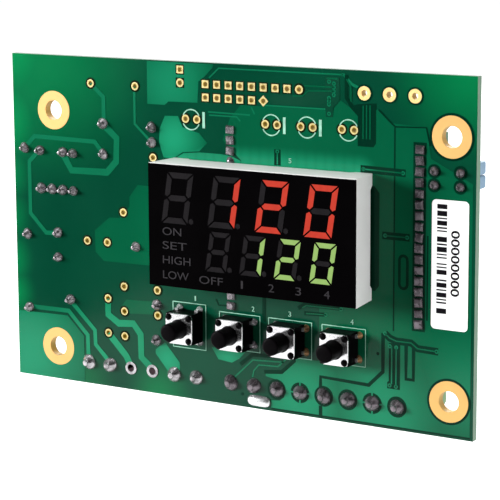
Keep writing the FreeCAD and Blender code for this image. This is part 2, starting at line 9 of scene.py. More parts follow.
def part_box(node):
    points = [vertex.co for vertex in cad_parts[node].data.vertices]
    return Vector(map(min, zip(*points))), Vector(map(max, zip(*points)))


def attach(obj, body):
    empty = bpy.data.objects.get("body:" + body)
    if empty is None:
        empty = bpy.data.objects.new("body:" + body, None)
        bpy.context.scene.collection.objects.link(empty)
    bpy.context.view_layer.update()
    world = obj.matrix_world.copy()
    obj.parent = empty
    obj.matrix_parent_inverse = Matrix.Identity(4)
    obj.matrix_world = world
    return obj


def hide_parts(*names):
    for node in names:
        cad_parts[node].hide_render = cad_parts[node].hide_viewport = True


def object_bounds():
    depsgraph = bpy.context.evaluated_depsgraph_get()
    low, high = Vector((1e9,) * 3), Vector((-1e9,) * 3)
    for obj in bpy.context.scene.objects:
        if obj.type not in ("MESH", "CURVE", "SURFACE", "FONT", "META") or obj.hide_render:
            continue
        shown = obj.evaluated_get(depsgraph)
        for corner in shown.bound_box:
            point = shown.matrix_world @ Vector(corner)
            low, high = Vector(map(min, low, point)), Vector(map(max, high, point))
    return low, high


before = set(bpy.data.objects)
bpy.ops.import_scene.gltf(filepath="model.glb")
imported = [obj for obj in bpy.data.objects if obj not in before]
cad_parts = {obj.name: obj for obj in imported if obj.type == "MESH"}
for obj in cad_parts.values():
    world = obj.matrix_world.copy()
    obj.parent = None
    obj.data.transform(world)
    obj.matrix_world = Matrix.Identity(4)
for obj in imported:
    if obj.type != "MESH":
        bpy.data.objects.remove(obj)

# ---- Studio ----
# A pale floor well below the board, which is held up by its mounting holes, in a white room.
# The main soft lamp stands high on the left, with a weaker one on the right and one behind.
MM = 0.001
scene = bpy.context.scene
cad_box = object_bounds()
scene.view_settings.view_transform = "Standard"


def placed(name, data):
    """Puts a new object with this data into the scene."""
    made = bpy.data.objects.new(name, data)
    scene.collection.objects.link(made)
    return made


def fill(tree, socket, value):
    """Links an input to another node's output, or sets its value."""
    if isinstance(value, bpy.types.NodeSocket):
        tree.links.new(value, socket)
    else:
        socket.default_value = value


def node_after(tree, kind, settings=None, **inputs):
    """Adds a node, sets its properties, and fills its inputs by name."""
    made = tree.nodes.new(kind)
    for key, value in (settings or {}).items():
        setattr(made, key, value)
    for key, value in inputs.items():
        fill(tree, made.inputs[key.replace("_", " ")], value)
    return made


def reckon(tree, operation, *values, kind="ShaderNodeMath"):
    """Adds a Math node, or a Vector Math node, and fills its inputs in order."""
    made = node_after(tree, kind, {"operation": operation})
    for socket, value in zip(made.inputs, values):
        fill(tree, socket, value)
    return made.outputs


def seen_directly(tree):
    """1 for the camera's rays, also by way of a reflection or through a clear part."""
    rays = node_after(tree, "ShaderNodeLightPath").outputs
    seen = reckon(tree, "MAXIMUM", rays["Is Camera Ray"], rays["Is Glossy Ray"])[0]
    return reckon(tree, "MAXIMUM", seen, rays["Is Transmission Ray"])[0]


def plain_material(name, **inputs):
    """A material whose principled shader has these inputs filled by name."""
    material = bpy.data.materials.new(name)
    material.use_nodes = True
    shader = material.node_tree.nodes["Principled BSDF"]
    for key, value in inputs.items():
        fill(material.node_tree, shader.inputs[key.replace("_", " ")], value)
    return material


world = bpy.data.worlds.new("studio_room")
scene.world = world
world.use_nodes = True
room = world.node_tree
room.nodes.clear()
direction = node_after(room, "ShaderNodeTexCoord").outputs["Generated"]
height = node_after(room, "ShaderNodeSeparateXYZ", Vector=direction).outputs["Z"]
gradient = node_after(room, "ShaderNodeMapRange", Value=height, From_Min=-0.35, From_Max=0.7,
                      To_Min=0.04, To_Max=0.26).outputs["Result"]
glow = node_after(room, "ShaderNodeMix", A=gradient, B=1.0,
                  Factor=seen_directly(room)).outputs["Result"]
backdrop = node_after(room, "ShaderNodeBackground", Strength=glow, Color=(1, 1, 1, 1))
node_after(room, "ShaderNodeOutputWorld", Surface=backdrop.outputs["Background"])


def soft_lamp(name, place, size, power, glints=True):
    """A square lamp that points at the object."""
    data = bpy.data.lights.new(name, "AREA")
    data.size = size
    data.energy = power
    lamp = placed(name, data)
    lamp.location = place
    lamp.visible_glossy = glints
    lamp.rotation_euler = (-Vector(place)).to_track_quat("-Z", "Y").to_euler()


soft_lamp("key_lamp", (-1.1, -0.78, 0.24), 0.4, 36.0)
soft_lamp("fill_lamp", (0.95, -0.12, 0.06), 0.4, 4.0, glints=False)
soft_lamp("rear_lamp", (-0.3, 0.9, 0.6), 0.6, 8.0)
soft_lamp("top_lamp", (-0.2, 0.12, 1.1), 0.5, 4.0)

FLOOR_DROP, FLOOR_GLOW = 0.055, 0.84
bpy.ops.mesh.primitive_plane_add(size=6, location=(0, 0, cad_box[0].z - FLOOR_DROP))
floor = bpy.context.object
floor.name = "studio_floor"
paper = plain_material("pale_paper", Base_Color=(0.62, 0.62, 0.62, 1), Roughness=1.0,
                       Specular_IOR_Level=0.0, Emission_Color=(1, 1, 1, 1))
sheet = paper.node_tree
sheet.links.new(reckon(sheet, "MULTIPLY", seen_directly(sheet), FLOOR_GLOW)[0],
                sheet.nodes["Principled BSDF"].inputs["Emission Strength"])
floor.data.materials.append(paper)

# A dull black card stands upright in front, where only reflections find it, so that the upper
# part of the glossy mask keeps its depth, and the lower part shows the pale floor.
card_mesh = bpy.data.meshes.new("black_card")
card_corners = [(-1.4, -0.075), (-0.19, -0.075), (-0.172, -0.074), (-0.155, -0.06),
                (-0.07, -0.056), (-0.055, -0.073), (0.8, -0.073), (0.8, 0.545), (-1.4, 0.545)]
card_mesh.from_pydata([(x, -0.2, z) for x, z in card_corners], [], [range(len(card_corners))])
card = placed("black_card", card_mesh)
for ray in ("camera", "diffuse", "shadow", "transmission", "volume_scatter"):
    setattr(card, f"visible_{ray}", False)
card_mesh.materials.append(plain_material("black_card", Base_Color=(0.02, 0.02, 0.02, 1),
                                          Specular_IOR_Level=0.0))

camera_data = bpy.data.cameras.new("camera")
camera_data.sensor_width = 36
camera_data.lens = 138.17
camera_data.shift_y = -0.1
camera = placed("camera", camera_data)
camera.location = (0.18316, -0.30959, 0.06872)
camera.rotation_euler = [math.radians(angle) for angle in (80.601, 0.275, 30.433)]
scene.camera = camera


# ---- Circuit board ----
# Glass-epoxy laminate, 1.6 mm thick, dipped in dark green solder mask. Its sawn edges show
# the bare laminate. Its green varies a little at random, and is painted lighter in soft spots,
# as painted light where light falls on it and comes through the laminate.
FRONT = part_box("circuit_board")[0].y
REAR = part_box("circuit_board")[1].y


def new_tree(name, kind, taken, made):
    """Makes a node group with its sockets, and returns it with what its input node gives."""
    tree = bpy.data.node_groups.new(name, kind)
    for way, sockets in (("INPUT", taken), ("OUTPUT", made)):
        for label, sort in sockets.items():
            tree.interface.new_socket(label, in_out=way, socket_type="NodeSocket" + sort)
    return tree, tree.nodes.new("NodeGroupInput").outputs


def grain_group():
    """Mottled colour and fine relief, for every finish here, each in its own amounts."""
    tree, given = new_tree(
        "surface_grain", "ShaderNodeTree",
        {"Colour": "Color", "Mottle": "Float", "Mottle Scale": "Float", "Relief Scale": "Float"},
        {"Colour": "Color", "Height": "Float", "Drift": "Float"})
    where = node_after(tree, "ShaderNodeTexCoord").outputs["Object"]
    cloud = node_after(tree, "ShaderNodeTexNoise", Vector=where, Scale=given["Mottle Scale"],
                       Detail=3.0).outputs["Fac"]
    drift = node_after(tree, "ShaderNodeMapRange", Value=cloud, From_Min=0.3, From_Max=0.7,
                       To_Min=-1.0, To_Max=1.0).outputs["Result"]
    factor = reckon(tree, "MULTIPLY_ADD", drift, given["Mottle"], 1.0)[0]
    tinted = node_after(tree, "ShaderNodeVectorMath", {"operation": "SCALE"},
                        Vector=given["Colour"], Scale=factor).outputs["Vector"]
    relief = node_after(tree, "ShaderNodeTexNoise", Vector=where, Scale=given["Relief Scale"],
                        Detail=4.0).outputs["Fac"]
    node_after(tree, "NodeGroupOutput", Colour=tinted, Height=relief, Drift=drift)
    return tree


GRAIN = grain_group()


ROUGHNESS_DRIFT = 0.05
RELIEF_DEPTH = 0.2 * MM


def finish(name, colour, roughness, metallic=0.0, specular=0.5, mottle=(0.08, 90),
           relief=(0.05, 1500), glow=0.0):
    """A finish: one colour that drifts a little, over fine relief, each given as an amount
    and a scale."""
    material = plain_material(name, Metallic=metallic, Specular_IOR_Level=specular)
    tree = material.node_tree
    shader = tree.nodes["Principled BSDF"].inputs
    grain = node_after(tree, "ShaderNodeGroup", {"node_tree": GRAIN, "name": "grain"},
                       Colour=(*colour, 1), Mottle=mottle[0], Mottle_Scale=mottle[1],
                       Relief_Scale=relief[1]).outputs
    bump = node_after(tree, "ShaderNodeBump", Strength=relief[0], Distance=RELIEF_DEPTH,
                      Height=grain["Height"]).outputs["Normal"]
    rough = reckon(tree, "MULTIPLY_ADD", grain["Drift"], ROUGHNESS_DRIFT, roughness)[0]
    fill(tree, shader["Base Color"], grain["Colour"])
    fill(tree, shader["Roughness"], rough)
    fill(tree, shader["Normal"], bump)
    if glow:
        fill(tree, shader["Emission Color"], grain["Colour"])
        fill(tree, shader["Emission Strength"], glow)
    return material


def dress(node, material):
    """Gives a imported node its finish."""
    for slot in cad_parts[node].material_slots:
        slot.material = material


def srgb(code):
    """A colour from its screen code, such as 0a6b45."""
    channels = [int(code[i:i + 2], 16) / 255 for i in (0, 2, 4)]
    return [c / 12.92 if c <= 0.04045 else ((c + 0.055) / 1.055) ** 2.4 for c in channels]


def spot_group():
    """A soft round spot of painted light on the board, from its peak in the middle to 0 at its
    edge.
    """
    tree, given = new_tree(
        "painted_light_spot", "ShaderNodeTree",
        {"Middle": "Vector", "Radius": "Float", "Peak": "Float", "Before": "Float"},
        {"Amount": "Float"})
    where = node_after(tree, "ShaderNodeTexCoord").outputs["Object"]
    apart = reckon(tree, "DISTANCE", where, given["Middle"], kind="ShaderNodeVectorMath")["Value"]
    spot = node_after(tree, "ShaderNodeMapRange", {"interpolation_type": "SMOOTHSTEP"},
                      Value=apart, From_Min=0.0, From_Max=given["Radius"],
                      To_Min=given["Peak"], To_Max=0.0).outputs["Result"]
    node_after(tree, "NodeGroupOutput", Amount=reckon(tree, "MAXIMUM", spot, given["Before"])[0])
    return tree


PAINTED_LIGHT_SPOT = spot_group()


def blend(tree, factor, first, second):
    """A mix of two colours, the first where the factor is 0 and the second where it is 1."""
    made = node_after(tree, "ShaderNodeMix", {"data_type": "RGBA"}, Factor=factor)
    for socket, colour in zip(made.inputs[6:8], (first, second)):
        fill(tree, socket, colour)
    return made.outputs[2]


def mask_finish(name, dark, bright, painted_light_spots, **settings):
    """Green mask with painted light: brighter in soft spots, where light falls on it and comes
    through the laminate.
    """
    material = finish(name, dark, **settings)
    tree = material.node_tree
    amount = 0.0
    for x, z, radius, peak in painted_light_spots:
        amount = node_after(tree, "ShaderNodeGroup", {"node_tree": PAINTED_LIGHT_SPOT}, Radius=radius * MM,
                            Middle=(x * MM, FRONT, z * MM), Peak=peak,
                            Before=amount).outputs["Amount"]
    fill(tree, tree.nodes["grain"].inputs["Colour"],
         blend(tree, amount, (*dark, 1), (*bright, 1)))
    return material


# Painted light: lighter spots at the left edge and the corners, where the lamp and the light
# through the laminate brighten the mask, and near the lower edge.
bare_mask = mask_finish(
    "solder_mask", srgb("033c29"), srgb("047a44"),
    [(-55, 36, 17, 1.0), (-47, 36, 32, 0.58), (-57, 22, 14, 1.0), (-57, 11, 9, 0.9),
     (-56.5, 2, 8, 0.8), (-56.5, -7, 8, 1.0), (-55, -14, 7, 0.9), (47, 37, 20, 0.75),
     (-19, -31, 9, 0.5), (-37, -31, 9, 0.35)],
    roughness=0.12, specular=0.15, mottle=(0.14, 38), relief=(0.05, 220))
tree = bare_mask.node_tree
normal = node_after(tree, "ShaderNodeNewGeometry").outputs["Normal"]
facing = node_after(tree, "ShaderNodeSeparateXYZ", Vector=normal).outputs["Y"]
is_face = reckon(tree, "GREATER_THAN", reckon(tree, "ABSOLUTE", facing)[0], 0.5)[0]
sawn_edge = (*srgb("74967c"), 1)
fill(tree, tree.nodes["Principled BSDF"].inputs["Base Color"],
     blend(tree, is_face, sawn_edge, tree.nodes["grain"].outputs["Colour"]))
dress("circuit_board", bare_mask)


# ---- Copper under the mask ----
# Etched copper foil, standing 0.05 mm proud with the mask over it, so it shows as a lighter
# green. Broad pours carry the supply and ground, and routes join the holes.
FOIL = 0.05 * MM
# Painted light: the routes are lighter in one soft spot at the lower left.
masked_copper = mask_finish(
    "masked_copper", srgb("0a6243"), srgb("16855d"), [(-30, -22, 18, 1.0)],
    roughness=0.12, specular=0.15, mottle=(0.1, 45), relief=(0.05, 260))
# Painted light: the pours are lighter in soft spots at the upper left, the lower left and along
# the bottom, and in a row along the display's top edge, which is painted light thrown onto the
# board from the display's white top.
masked_pour = mask_finish(
    "masked_pour", srgb("034f33"), srgb("188660"),
    [(-16, 31, 13, 0.55), (-15, 20, 9, 0.95), (-52, -26, 22, 0.85), (-17, -24, 7, 0.85),
     (-3, -21, 6, 0.85), (12, -28, 14, 0.8), (30, -28, 16, 0.6), (48, -22, 14, 0.38)]
    + [(x, 16.2, 4.2, 1.0) for x in range(-13, 27, 2)],
    roughness=0.12, specular=0.15, mottle=(0.12, 30), relief=(0.05, 260))


def own_mesh(name, mesh, material, replaces=(), body="controller"):
    """Makes a mesh a piece of the object, with its finish, body and slot."""
    piece = placed(name, mesh)
    piece.data.materials.clear()
    piece.data.materials.append(material)
    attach(piece, body)
    if replaces:
        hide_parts(*replaces)
    return piece


def as_mesh(form, name):
    """Turns a built form into a mesh, its long faces split and all of them facing outward."""
    bmesh.ops.triangulate(form, faces=[f for f in form.faces if len(f.verts) > 4])
    bmesh.ops.recalc_face_normals(form, faces=form.faces)
    mesh = bpy.data.meshes.new(name)
    form.to_mesh(mesh)
    form.free()
    return mesh


def evaluated(thing):
    """The plain mesh that an object's text or modifiers make. The object is removed."""
    graph = bpy.context.evaluated_depsgraph_get()
    mesh = bpy.data.meshes.new_from_object(thing.evaluated_get(graph))
    bpy.data.objects.remove(thing)
    return mesh


def drilled(name, mesh, holes):
    """Cuts round holes, given as places and radii, through a plate on the front."""
    form = bmesh.new()
    for places, radius in holes:
        for x, z in places:
            made = bmesh.ops.create_cone(form, cap_ends=True, segments=24, radius1=radius * MM,
                                         radius2=radius * MM, depth=1 * MM)["verts"]
            bmesh.ops.rotate(form, verts=made, matrix=Matrix.Rotation(math.pi / 2, 3, "X"))
            bmesh.ops.translate(form, verts=made, vec=(x * MM, FRONT, z * MM))
    drill_mesh = bpy.data.meshes.new(name + "_drill")
    form.to_mesh(drill_mesh)
    form.free()
    drill = placed(name + "_drill", drill_mesh)
    blank = placed(name + "_blank", mesh)
    cut = blank.modifiers.new("drill", "BOOLEAN")
    cut.object = drill
    cut.solver = "EXACT"
    result = evaluated(blank)
    bpy.data.objects.remove(drill)
    return result


def plates(name, outlines, y_low, y_high, material, holes=()):
    """Closed plates from outlines in X and Z, in millimetres, between two depths."""
    form = bmesh.new()
    for outline in outlines:
        face = form.faces.new([form.verts.new((x * MM, y_high, z * MM)) for x, z in outline])
        swept = bmesh.ops.extrude_face_region(form, geom=[face])["geom"]
        moved = [v for v in swept if isinstance(v, bmesh.types.BMVert)]
        bmesh.ops.translate(form, verts=moved, vec=(0, y_low - y_high, 0))
    mesh = as_mesh(form, name)
    return own_mesh(name, drilled(name, mesh, holes) if holes else mesh, material)


def close_tree(tree, geometry, material):
    """Ends a Geometry Nodes tree: the instances are made real and given their finish."""
    realized = node_after(tree, "GeometryNodeRealizeInstances", Geometry=geometry)
    finished = node_after(tree, "GeometryNodeSetMaterial", Geometry=realized.outputs["Geometry"],
                          Material=material)
    node_after(tree, "NodeGroupOutput", Geometry=finished.outputs["Geometry"])
    return tree


def route_tree():
    """Geometry Nodes: sweeps a flat strip of a given width along each drawn route."""
    tree, given = new_tree(
        "foil_routes", "GeometryNodeTree",
        {"Geometry": "Geometry", "Strip Width": "Float", "Strip Thickness": "Float",
         "Finish": "Material"}, {"Geometry": "Geometry"})
    routes = node_after(tree, "GeometryNodeMeshToCurve", Mesh=given["Geometry"])
    flat = node_after(tree, "GeometryNodeSetCurveNormal", {"mode": "FREE"},
                      Curve=routes.outputs["Curve"], Normal=(0.0, 1.0, 0.0))
    strip = node_after(tree, "GeometryNodeCurvePrimitiveQuadrilateral",
                       Width=given["Strip Thickness"], Height=given["Strip Width"])
    swept = node_after(tree, "GeometryNodeCurveToMesh", Curve=flat.outputs["Curve"],
                       Profile_Curve=strip.outputs["Curve"], Fill_Caps=True)
    flat_faced = node_after(tree, "GeometryNodeSetShadeSmooth", Geometry=swept.outputs["Mesh"],
                            Shade_Smooth=False)
    return close_tree(tree, flat_faced.outputs["Geometry"], given["Finish"])


def grown(name, start, tree, **inputs):
    """Runs a Geometry Nodes tree on a start mesh and returns the plain mesh it makes."""
    seed = placed(name + "_start", start)
    modifier = seed.modifiers.new("nodes", "NODES")
    modifier.node_group = tree
    sockets = {item.name: item.identifier for item in tree.interface.items_tree
               if item.item_type == "SOCKET" and item.in_out == "INPUT"}
    for label, value in inputs.items():
        modifier[sockets[label.replace("_", " ")]] = value
    return evaluated(seed)


def edges_mesh(name, lines, y):
    """A mesh of bare edges along each line of points in X and Z, in millimetres."""
    points, joins = [], []
    for line in lines:
        first = len(points)
        points += [(x * MM, y, z * MM) for x, z in line]
        joins += [(first + i, first + i + 1) for i in range(len(line) - 1)]
    mesh = bpy.data.meshes.new(name)
    mesh.from_pydata(points, joins, [])
    return mesh


ROUTES = route_tree()


def strips(name, lines, width, y, material, thickness=FOIL):
    """Flat strips along lines of points, at one depth."""
    mesh = grown(name, edges_mesh(name, lines, y), ROUTES, Strip_Width=width * MM,
                 Strip_Thickness=thickness, Finish=material)
    return own_mesh(name, mesh, material)


POURS = [
    # beside the display, at the far left corner, above the display and round it
    [(-15.5, 10.5), (-23.5, 10.5), (-25.5, 8), (-25.5, 6), (-28, 3.6), (-30.3, 3.5), (-33.9, 0.6),
     (-33.8, -3.7), (-31.8, -5.4), (-15.5, -5.2)],
    [(-53.4, -17.7), (-41, -17.5), (-37, -21.3), (-37, -26), (-37, -30.9), (-53.4, -30.9)],
    [(-21, 34.9), (-21, 26.6), (-17, 26.6), (-16.2, 27.3), (-9.6, 27.4), (-9.3, 31.5),
     (-7.8, 32.6), (-6.2, 34.2), (-6, 34.9)],
    [(-17, 24.5), (-14, 24.6), (-13, 22.5), (-9.3, 21.6), (-7.5, 19.8), (-9.3, 18.1), (-13, 17.7),
     (-15.4, 16.2), (-17.4, 16.4), (-18.4, 19.2), (-18.2, 22)],
    # a band along the display's top edge, which carries the row of painted light from the
    # display's white top
    [(-15.2, 15.5), (-15.2, 16.1), (-12.9, 17.5), (-9.2, 17.9), (-4.5, 17.9), (-2, 17.6),
     (-0.1, 16.9), (-0.1, 15.5)],
    [(-27.8, -14.2), (-26.6, -12.7), (-19.8, -12.4), (-19.8, -15), (-27, -15.5)],
    [(-19.8, -22), (-17.6, -20.3), (-14.2, -24), (-14.2, -25.8), (-17, -26), (-19.8, -22.8)],
    [(-6.8, -20), (-5.3, -22.2), (-2.3, -22.5), (-0.6, -21.5), (0.8, -20)],
    # the ground pour, which fills the right and lower parts of the board
    [(0, 17), (-4, 20.6), (-2.4, 24.8), (0, 27.5), (18.2, 27.5), (19.6, 26.2), (19.8, 28),
     (21.2, 29.5), (24.2, 27.6), (28.8, 28.2), (31.5, 25.9), (38.4, 25.6), (39.4, 20), (47.6, 16),
     (47.6, -30.3), (6.4, -30.3), (6.4, -28.8), (8.3, -28.6), (9.3, -27.8), (9.3, -25.8),
     (7.5, -24.6), (5.2, -24.2), (5.2, -23.4), (8.7, -23.2), (11.8, -20.4), (11.8, -19.8),
     (16.8, -19.8), (16.8, -8), (0, -8)],
]
MOUNT_HOLES = [(x, z) for x in (-43.4, 43.4) for z in (-24.13, 24.13)]
PITCH = 2.54
HEADER = [(-7.8 + PITCH * i, z) for z, ways in ((31.05, 9), (28.51, 6)) for i in range(ways)]
HEADER_PAIR = [(-13.47, 33.58), (-13.47, 31.04)]
LAMP_HOLES = [(x + dx, 24.19) for x in (-12.29, 5.3, 12.86, 21.43) for dx in (0, PITCH)]
SPARE_HOLES = [(-34.32, 29.94), (-23.84, 29.87), (-19.85, 16.17), (-27.02, 4.81), (-35.77, -1.61),
               (-30.93, -1.55), (-27.08, -10.08), (-19.22, -10.06), (-31, -12.89),
               (-27.08, -15.11), (-19.22, -15.08), (-31, -19.92), (-27.08, -20.17)]
LARGE_HOLES = [(25.98 + 5.08 * i, 31.03) for i in range(3)]
SMALL_HOLES = HEADER + HEADER_PAIR + LAMP_HOLES + SPARE_HOLES


SMALL_CUT = 0.7
plates("copper_pours", POURS, FRONT - FOIL, FRONT, masked_pour,
       [(MOUNT_HOLES, 3.0), (SMALL_HOLES, SMALL_CUT), (LARGE_HOLES, 0.9)])
FRAME_ROUTES = {
    "routes_fine": (0.55, [
        [(-24, 29.75), (-24, 22.5), (-20.3, 19.3)],
        [(21.4, 34.2), (21.8, 34.2), (23.4, 32.6), (24.8, 32)],
    ]),
    "routes_hair": (0.3, [
        [(-6.9, 32.3), (-4.8, 34.2), (21.6, 34.2)],
        [(-1.6, -25.2), (2.4, -21.4), (9.3, -21)],
        [(2.3, -24.8), (2.6, -23.5), (3.7, -22.2), (7.9, -22), (9.9, -20.2)],
        [(4.5, 27.7), (18, 27.7)],
        [(-7.2, 25.8), (2, 25.7)],
        [(-7, 25.2), (-0.9, 25.2), (-0.1, 24.4)],
        [(2.3, 27.2), (3, 25.9)],
    ]),
    "routes_middle": (0.95, [
        [(-34.3, 29.9), (-31.3, 27.4), (-31.3, 22.2)],
        [(-50.6, 16.3), (-48.3, 18.6), (-33.6, 18.4), (-31.6, 16.2)],
        [(-47.3, 15.7), (-49.7, 13.4), (-49.7, 2.8), (-45.9, -0.9), (-43.4, -0.8)],
        [(-50.8, -16.6), (-40.7, -16.5), (-36.1, -21), (-36, -25.6)],
        [(-40.2, -14.3), (-34.3, -19.8), (-34.2, -22.7), (-31.2, -25.6)],
    ]),
    "routes_broad": (1.48, [
        [(-31.5, 22), (-28.3, 19.4), (-28.5, 14.8), (-30.7, 12.5), (-39.3, 12.3), (-41.4, 15.6)],
        [(-31, -13), (-31, -16.2), (-28.5, -17.7), (-25, -17.4), (-23.3, -19.4), (-23.2, -24),
         (-21, -25.8)],
        [(-31, -20), (-26.8, -24.2), (-25.6, -26.4)],
    ]),
}
for name, (width, lines) in FRAME_ROUTES.items():
    strips(name, lines, width, FRONT - 0.6 * FOIL, masked_copper, 1.2 * FOIL)


def arc(x, z, radius, start, end, pieces=10):
    """Points along an arc about (x, z), from one angle to another in degrees."""
    steps = [math.radians(start + (end - start) * i / pieces) for i in range(pieces + 1)]
    return [(x + radius * math.cos(a), z + radius * math.sin(a)) for a in steps]


# Channels are where the foil is etched away between a route and the pour round it, so the
# dark laminate shows. They are shallow strips of the bare mask, level with the foil.
bare_channel = finish("mask_over_laminate", srgb("012a1c"), 0.2, specular=0.08, mottle=(0.15, 60),
                      relief=(0.05, 260))
CHANNELS = {
    "channels_fine": (0.3, [
        [(32.2, 25.2), (32.2, -12.3)],
        [(28.9, 28.2), (31.5, 25.9), (32.3, 25.3), (38.4, 25.5), (39.2, 22.3)],
        [(-5.8, -10.4), (-5.2, -11.5), (-3.4, -11.4)],
        [(38.9, 6), (38.9, -9.6)],
        [(6.4, -30.4), (47.6, -30.4)],
    ]),
    "channels_middle": (0.75, [
        [(30.1, -12.9), (30.1, -20.2), (27.2, -23.1), (17.1, -22.8), (17.1, -24.9)],
        [(17.1, -28.4), (17.1, -30.7)],
        [(34.8, -14.6), (34.8, -21), (36.3, -21), (36.3, -14.6)],
        [(4.9, -23.4), (8.7, -23), (11.6, -20.3)],
        [(-0.4, -22.6), (2.2, -20.4), (7.4, -20.1)],
        [(12.3, -10.2), (13.5, -9.4), (21.6, -9.3)],
        [(13.6, -11), (18.4, -10.8)],
        [(4.9, -9), (4.9, -13.6)],
    ]),
    "channels_broad": (1.4, [
        [(25.3, 17.2), (34.4, 17)],
        [(29.8, 5.3), (35.3, 5.3)],
        [(30.5, -12.9), (31.5, -13.7), (32.8, -14.1), (35.8, -14.1), (37.1, -15), (41.2, -15.1)],
        [(7.9, 19.6), (7.9, 16.6)],
    ]),
    "channels_wide": (2.6, [
        [(37.2, 22.8), (37.2, -11.8)],
    ]),
}
for level, (name, (width, lines)) in enumerate(CHANNELS.items()):
    strips(name, lines, width, FRONT - (0.75 - 0.05 * level) * FOIL, bare_channel)

# Bare hollows with fine tracks in them: the duct beside the large pads and the pair of tracks at
# the lower right. The strip under the display's right edge, in the same dark finish, is a painted
# shadow of the display. The one round the header is less deep.
HOLLOWS_AND_PAINTED_SHADOW = [
    [(22, 34.2), (22.7, 34.2), (22.7, 30), (23.8, 28.7), (24.8, 29), (28.4, 29.3), (28.4, 22),
     (27.9, 21.3), (24.7, 21.3), (24.7, 26.8), (23.4, 28), (22, 29.9)],
    [(31.3, -14.6), (33.6, -14.6), (33.6, -23.2), (31, -23.2), (31, -22), (31.3, -21.8)],
    # A painted shadow: the display's shadow on the board to its right, laid down as dark bare
    # mask.
    [(26.2, 14.2), (28.2, 14.2), (29.2, 13), (29.2, -4.2), (28.4, -5.2), (26.2, -5.2)],
]
HEADER_HOLLOW = [(6.4, 29.9), (13.5, 29.9), (14.6, 31), (18, 31.1), (18, 33.7), (20.9, 33.7),
                 (21, 29.5), (19.6, 28), (19.6, 26.3), (18.1, 26.3), (18.1, 28), (6.4, 28)]
dim_mask = finish("dim_mask", srgb("043d2a"), 0.2, specular=0.22, mottle=(0.15, 60),
                  relief=(0.05, 260))
plates("bare_hollows", HOLLOWS_AND_PAINTED_SHADOW, FRONT - 1.3 * FOIL, FRONT, bare_channel)
plates("header_hollow", [HEADER_HOLLOW], FRONT - 1.25 * FOIL, FRONT, dim_mask,
       [(SMALL_HOLES, SMALL_CUT)])
TRACK = FRONT - 1.6 * FOIL
strips("hollow_tracks", [
    [(25.8, 28.8), (25.8, 22.7)], [(26.5, 28.9), (26.5, 22.7)], [(27.2, 28.9), (27.2, 22.7)],
    [(22.4, 33.4), (23.3, 32), (23.3, 29.4)],
    [(13.6, 31.8), (19.7, 31.8)], [(11.2, 29.8), (13.3, 29.9), (14.5, 30.9), (19.7, 31.1)],
    [(18.3, 33.4), (20.6, 33.4)], [(7.9, 19.1), (7.9, 16.8)],
    [(25.9, 17.2), (33.9, 17)], [(30.3, 5.3), (34.8, 5.3)],
    [(30.5, -12.9), (31.5, -13.7), (32.8, -14.1), (35.8, -14.1), (37.1, -15), (40.7, -15.1)],
    [(31.9, -15.1), (31.9, -22.3)], [(32.8, -15.2), (32.8, -22.5)],
    [(13.2, -10), (14, -9.5), (21.2, -9.4)], [(14, -11), (18, -10.8)]],
    0.26, TRACK, masked_pour)
LOOP = arc(34.1, 1.1, 0.8, 0, 180, 6) + arc(34.1, -3.4, 0.8, 180, 360, 6)
strips("loop_channel", [LOOP + LOOP[:1]], 0.55, FRONT - 0.65 * FOIL, bare_channel)


# ---- Pads, plated holes and mounting lands ----
# Every open hole is drilled, plated through and left gold-bright with a ring round it. The
# four mounting holes have broad lands, and the header's pads are square.
gold_plate = finish("gold_plate", srgb("e2c27c"), 0.45, metallic=0.3, mottle=(0.06, 220),
                    relief=(0.12, 700))
small_gold = finish("small_gold", srgb("bcac72"), 0.45, metallic=0.3, mottle=(0.06, 220),
                    relief=(0.12, 700))
gold_land = finish("gold_land", srgb("d2a55c"), 0.55, metallic=0.2, mottle=(0.05, 160),
                   relief=(0.12, 500))
# The bore linings are given a faint glow: painted light, standing in for the light that comes
# through the laminate into the holes.
copper_bore = finish("copper_bore", srgb("987e28"), 0.5, metallic=0.2, mottle=(0.25, 900),
                     glow=0.25)
gold_bore = finish("gold_bore", srgb("b8964a"), 0.5, metallic=0.2, mottle=(0.15, 900), glow=0.2)


def ring_tree():
    """Geometry Nodes: sets a flat ring, or a deep one as a hole's lining, on every point."""
    tree, given = new_tree(
        "rings_on_points", "GeometryNodeTree",
        {"Geometry": "Geometry", "Outer Radius": "Float", "Inner Radius": "Float",
         "Depth": "Float", "Sides": "Int", "Turn": "Float", "Finish": "Material"},
        {"Geometry": "Geometry"})
    radii = given["Outer Radius"], given["Inner Radius"]
    width = reckon(tree, "SUBTRACT", *radii)[0]
    middle = reckon(tree, "MULTIPLY", reckon(tree, "ADD", *radii)[0], 0.5)[0]
    path = node_after(tree, "GeometryNodeCurvePrimitiveCircle", Resolution=given["Sides"],
                      Radius=middle)
    section = node_after(tree, "GeometryNodeCurvePrimitiveQuadrilateral", Width=width,
                         Height=given["Depth"])
    ring = node_after(tree, "GeometryNodeCurveToMesh", Curve=path.outputs["Curve"],
                      Profile_Curve=section.outputs["Curve"])
    flat = node_after(tree, "GeometryNodeSetShadeSmooth", Geometry=ring.outputs["Mesh"],
                      Shade_Smooth=False)
    turned = node_after(tree, "ShaderNodeCombineXYZ", X=math.pi / 2, Y=given["Turn"])
    spread = node_after(tree, "GeometryNodeInstanceOnPoints", Points=given["Geometry"],
                        Instance=flat.outputs["Geometry"], Rotation=turned.outputs[0])
    return close_tree(tree, spread.outputs["Instances"], given["Finish"])


RINGS = ring_tree()


def points_mesh(name, places, y):
    """A mesh of bare points at places in X and Z, in millimetres."""
    mesh = bpy.data.meshes.new(name)
    mesh.from_pydata([(x * MM, y, z * MM) for x, z in places], [], [])
    return mesh


def rings(name, places, outer, inner, y, depth, material, sides, turn=0.0):
    """Rings round places in X and Z, from an inner to an outer radius, as one piece."""
    mesh = grown(name, points_mesh(name, places, y), RINGS, Outer_Radius=outer * MM,
                 Inner_Radius=inner * MM, Depth=depth, Sides=sides, Turn=turn, Finish=material)
    return own_mesh(name, mesh, material)


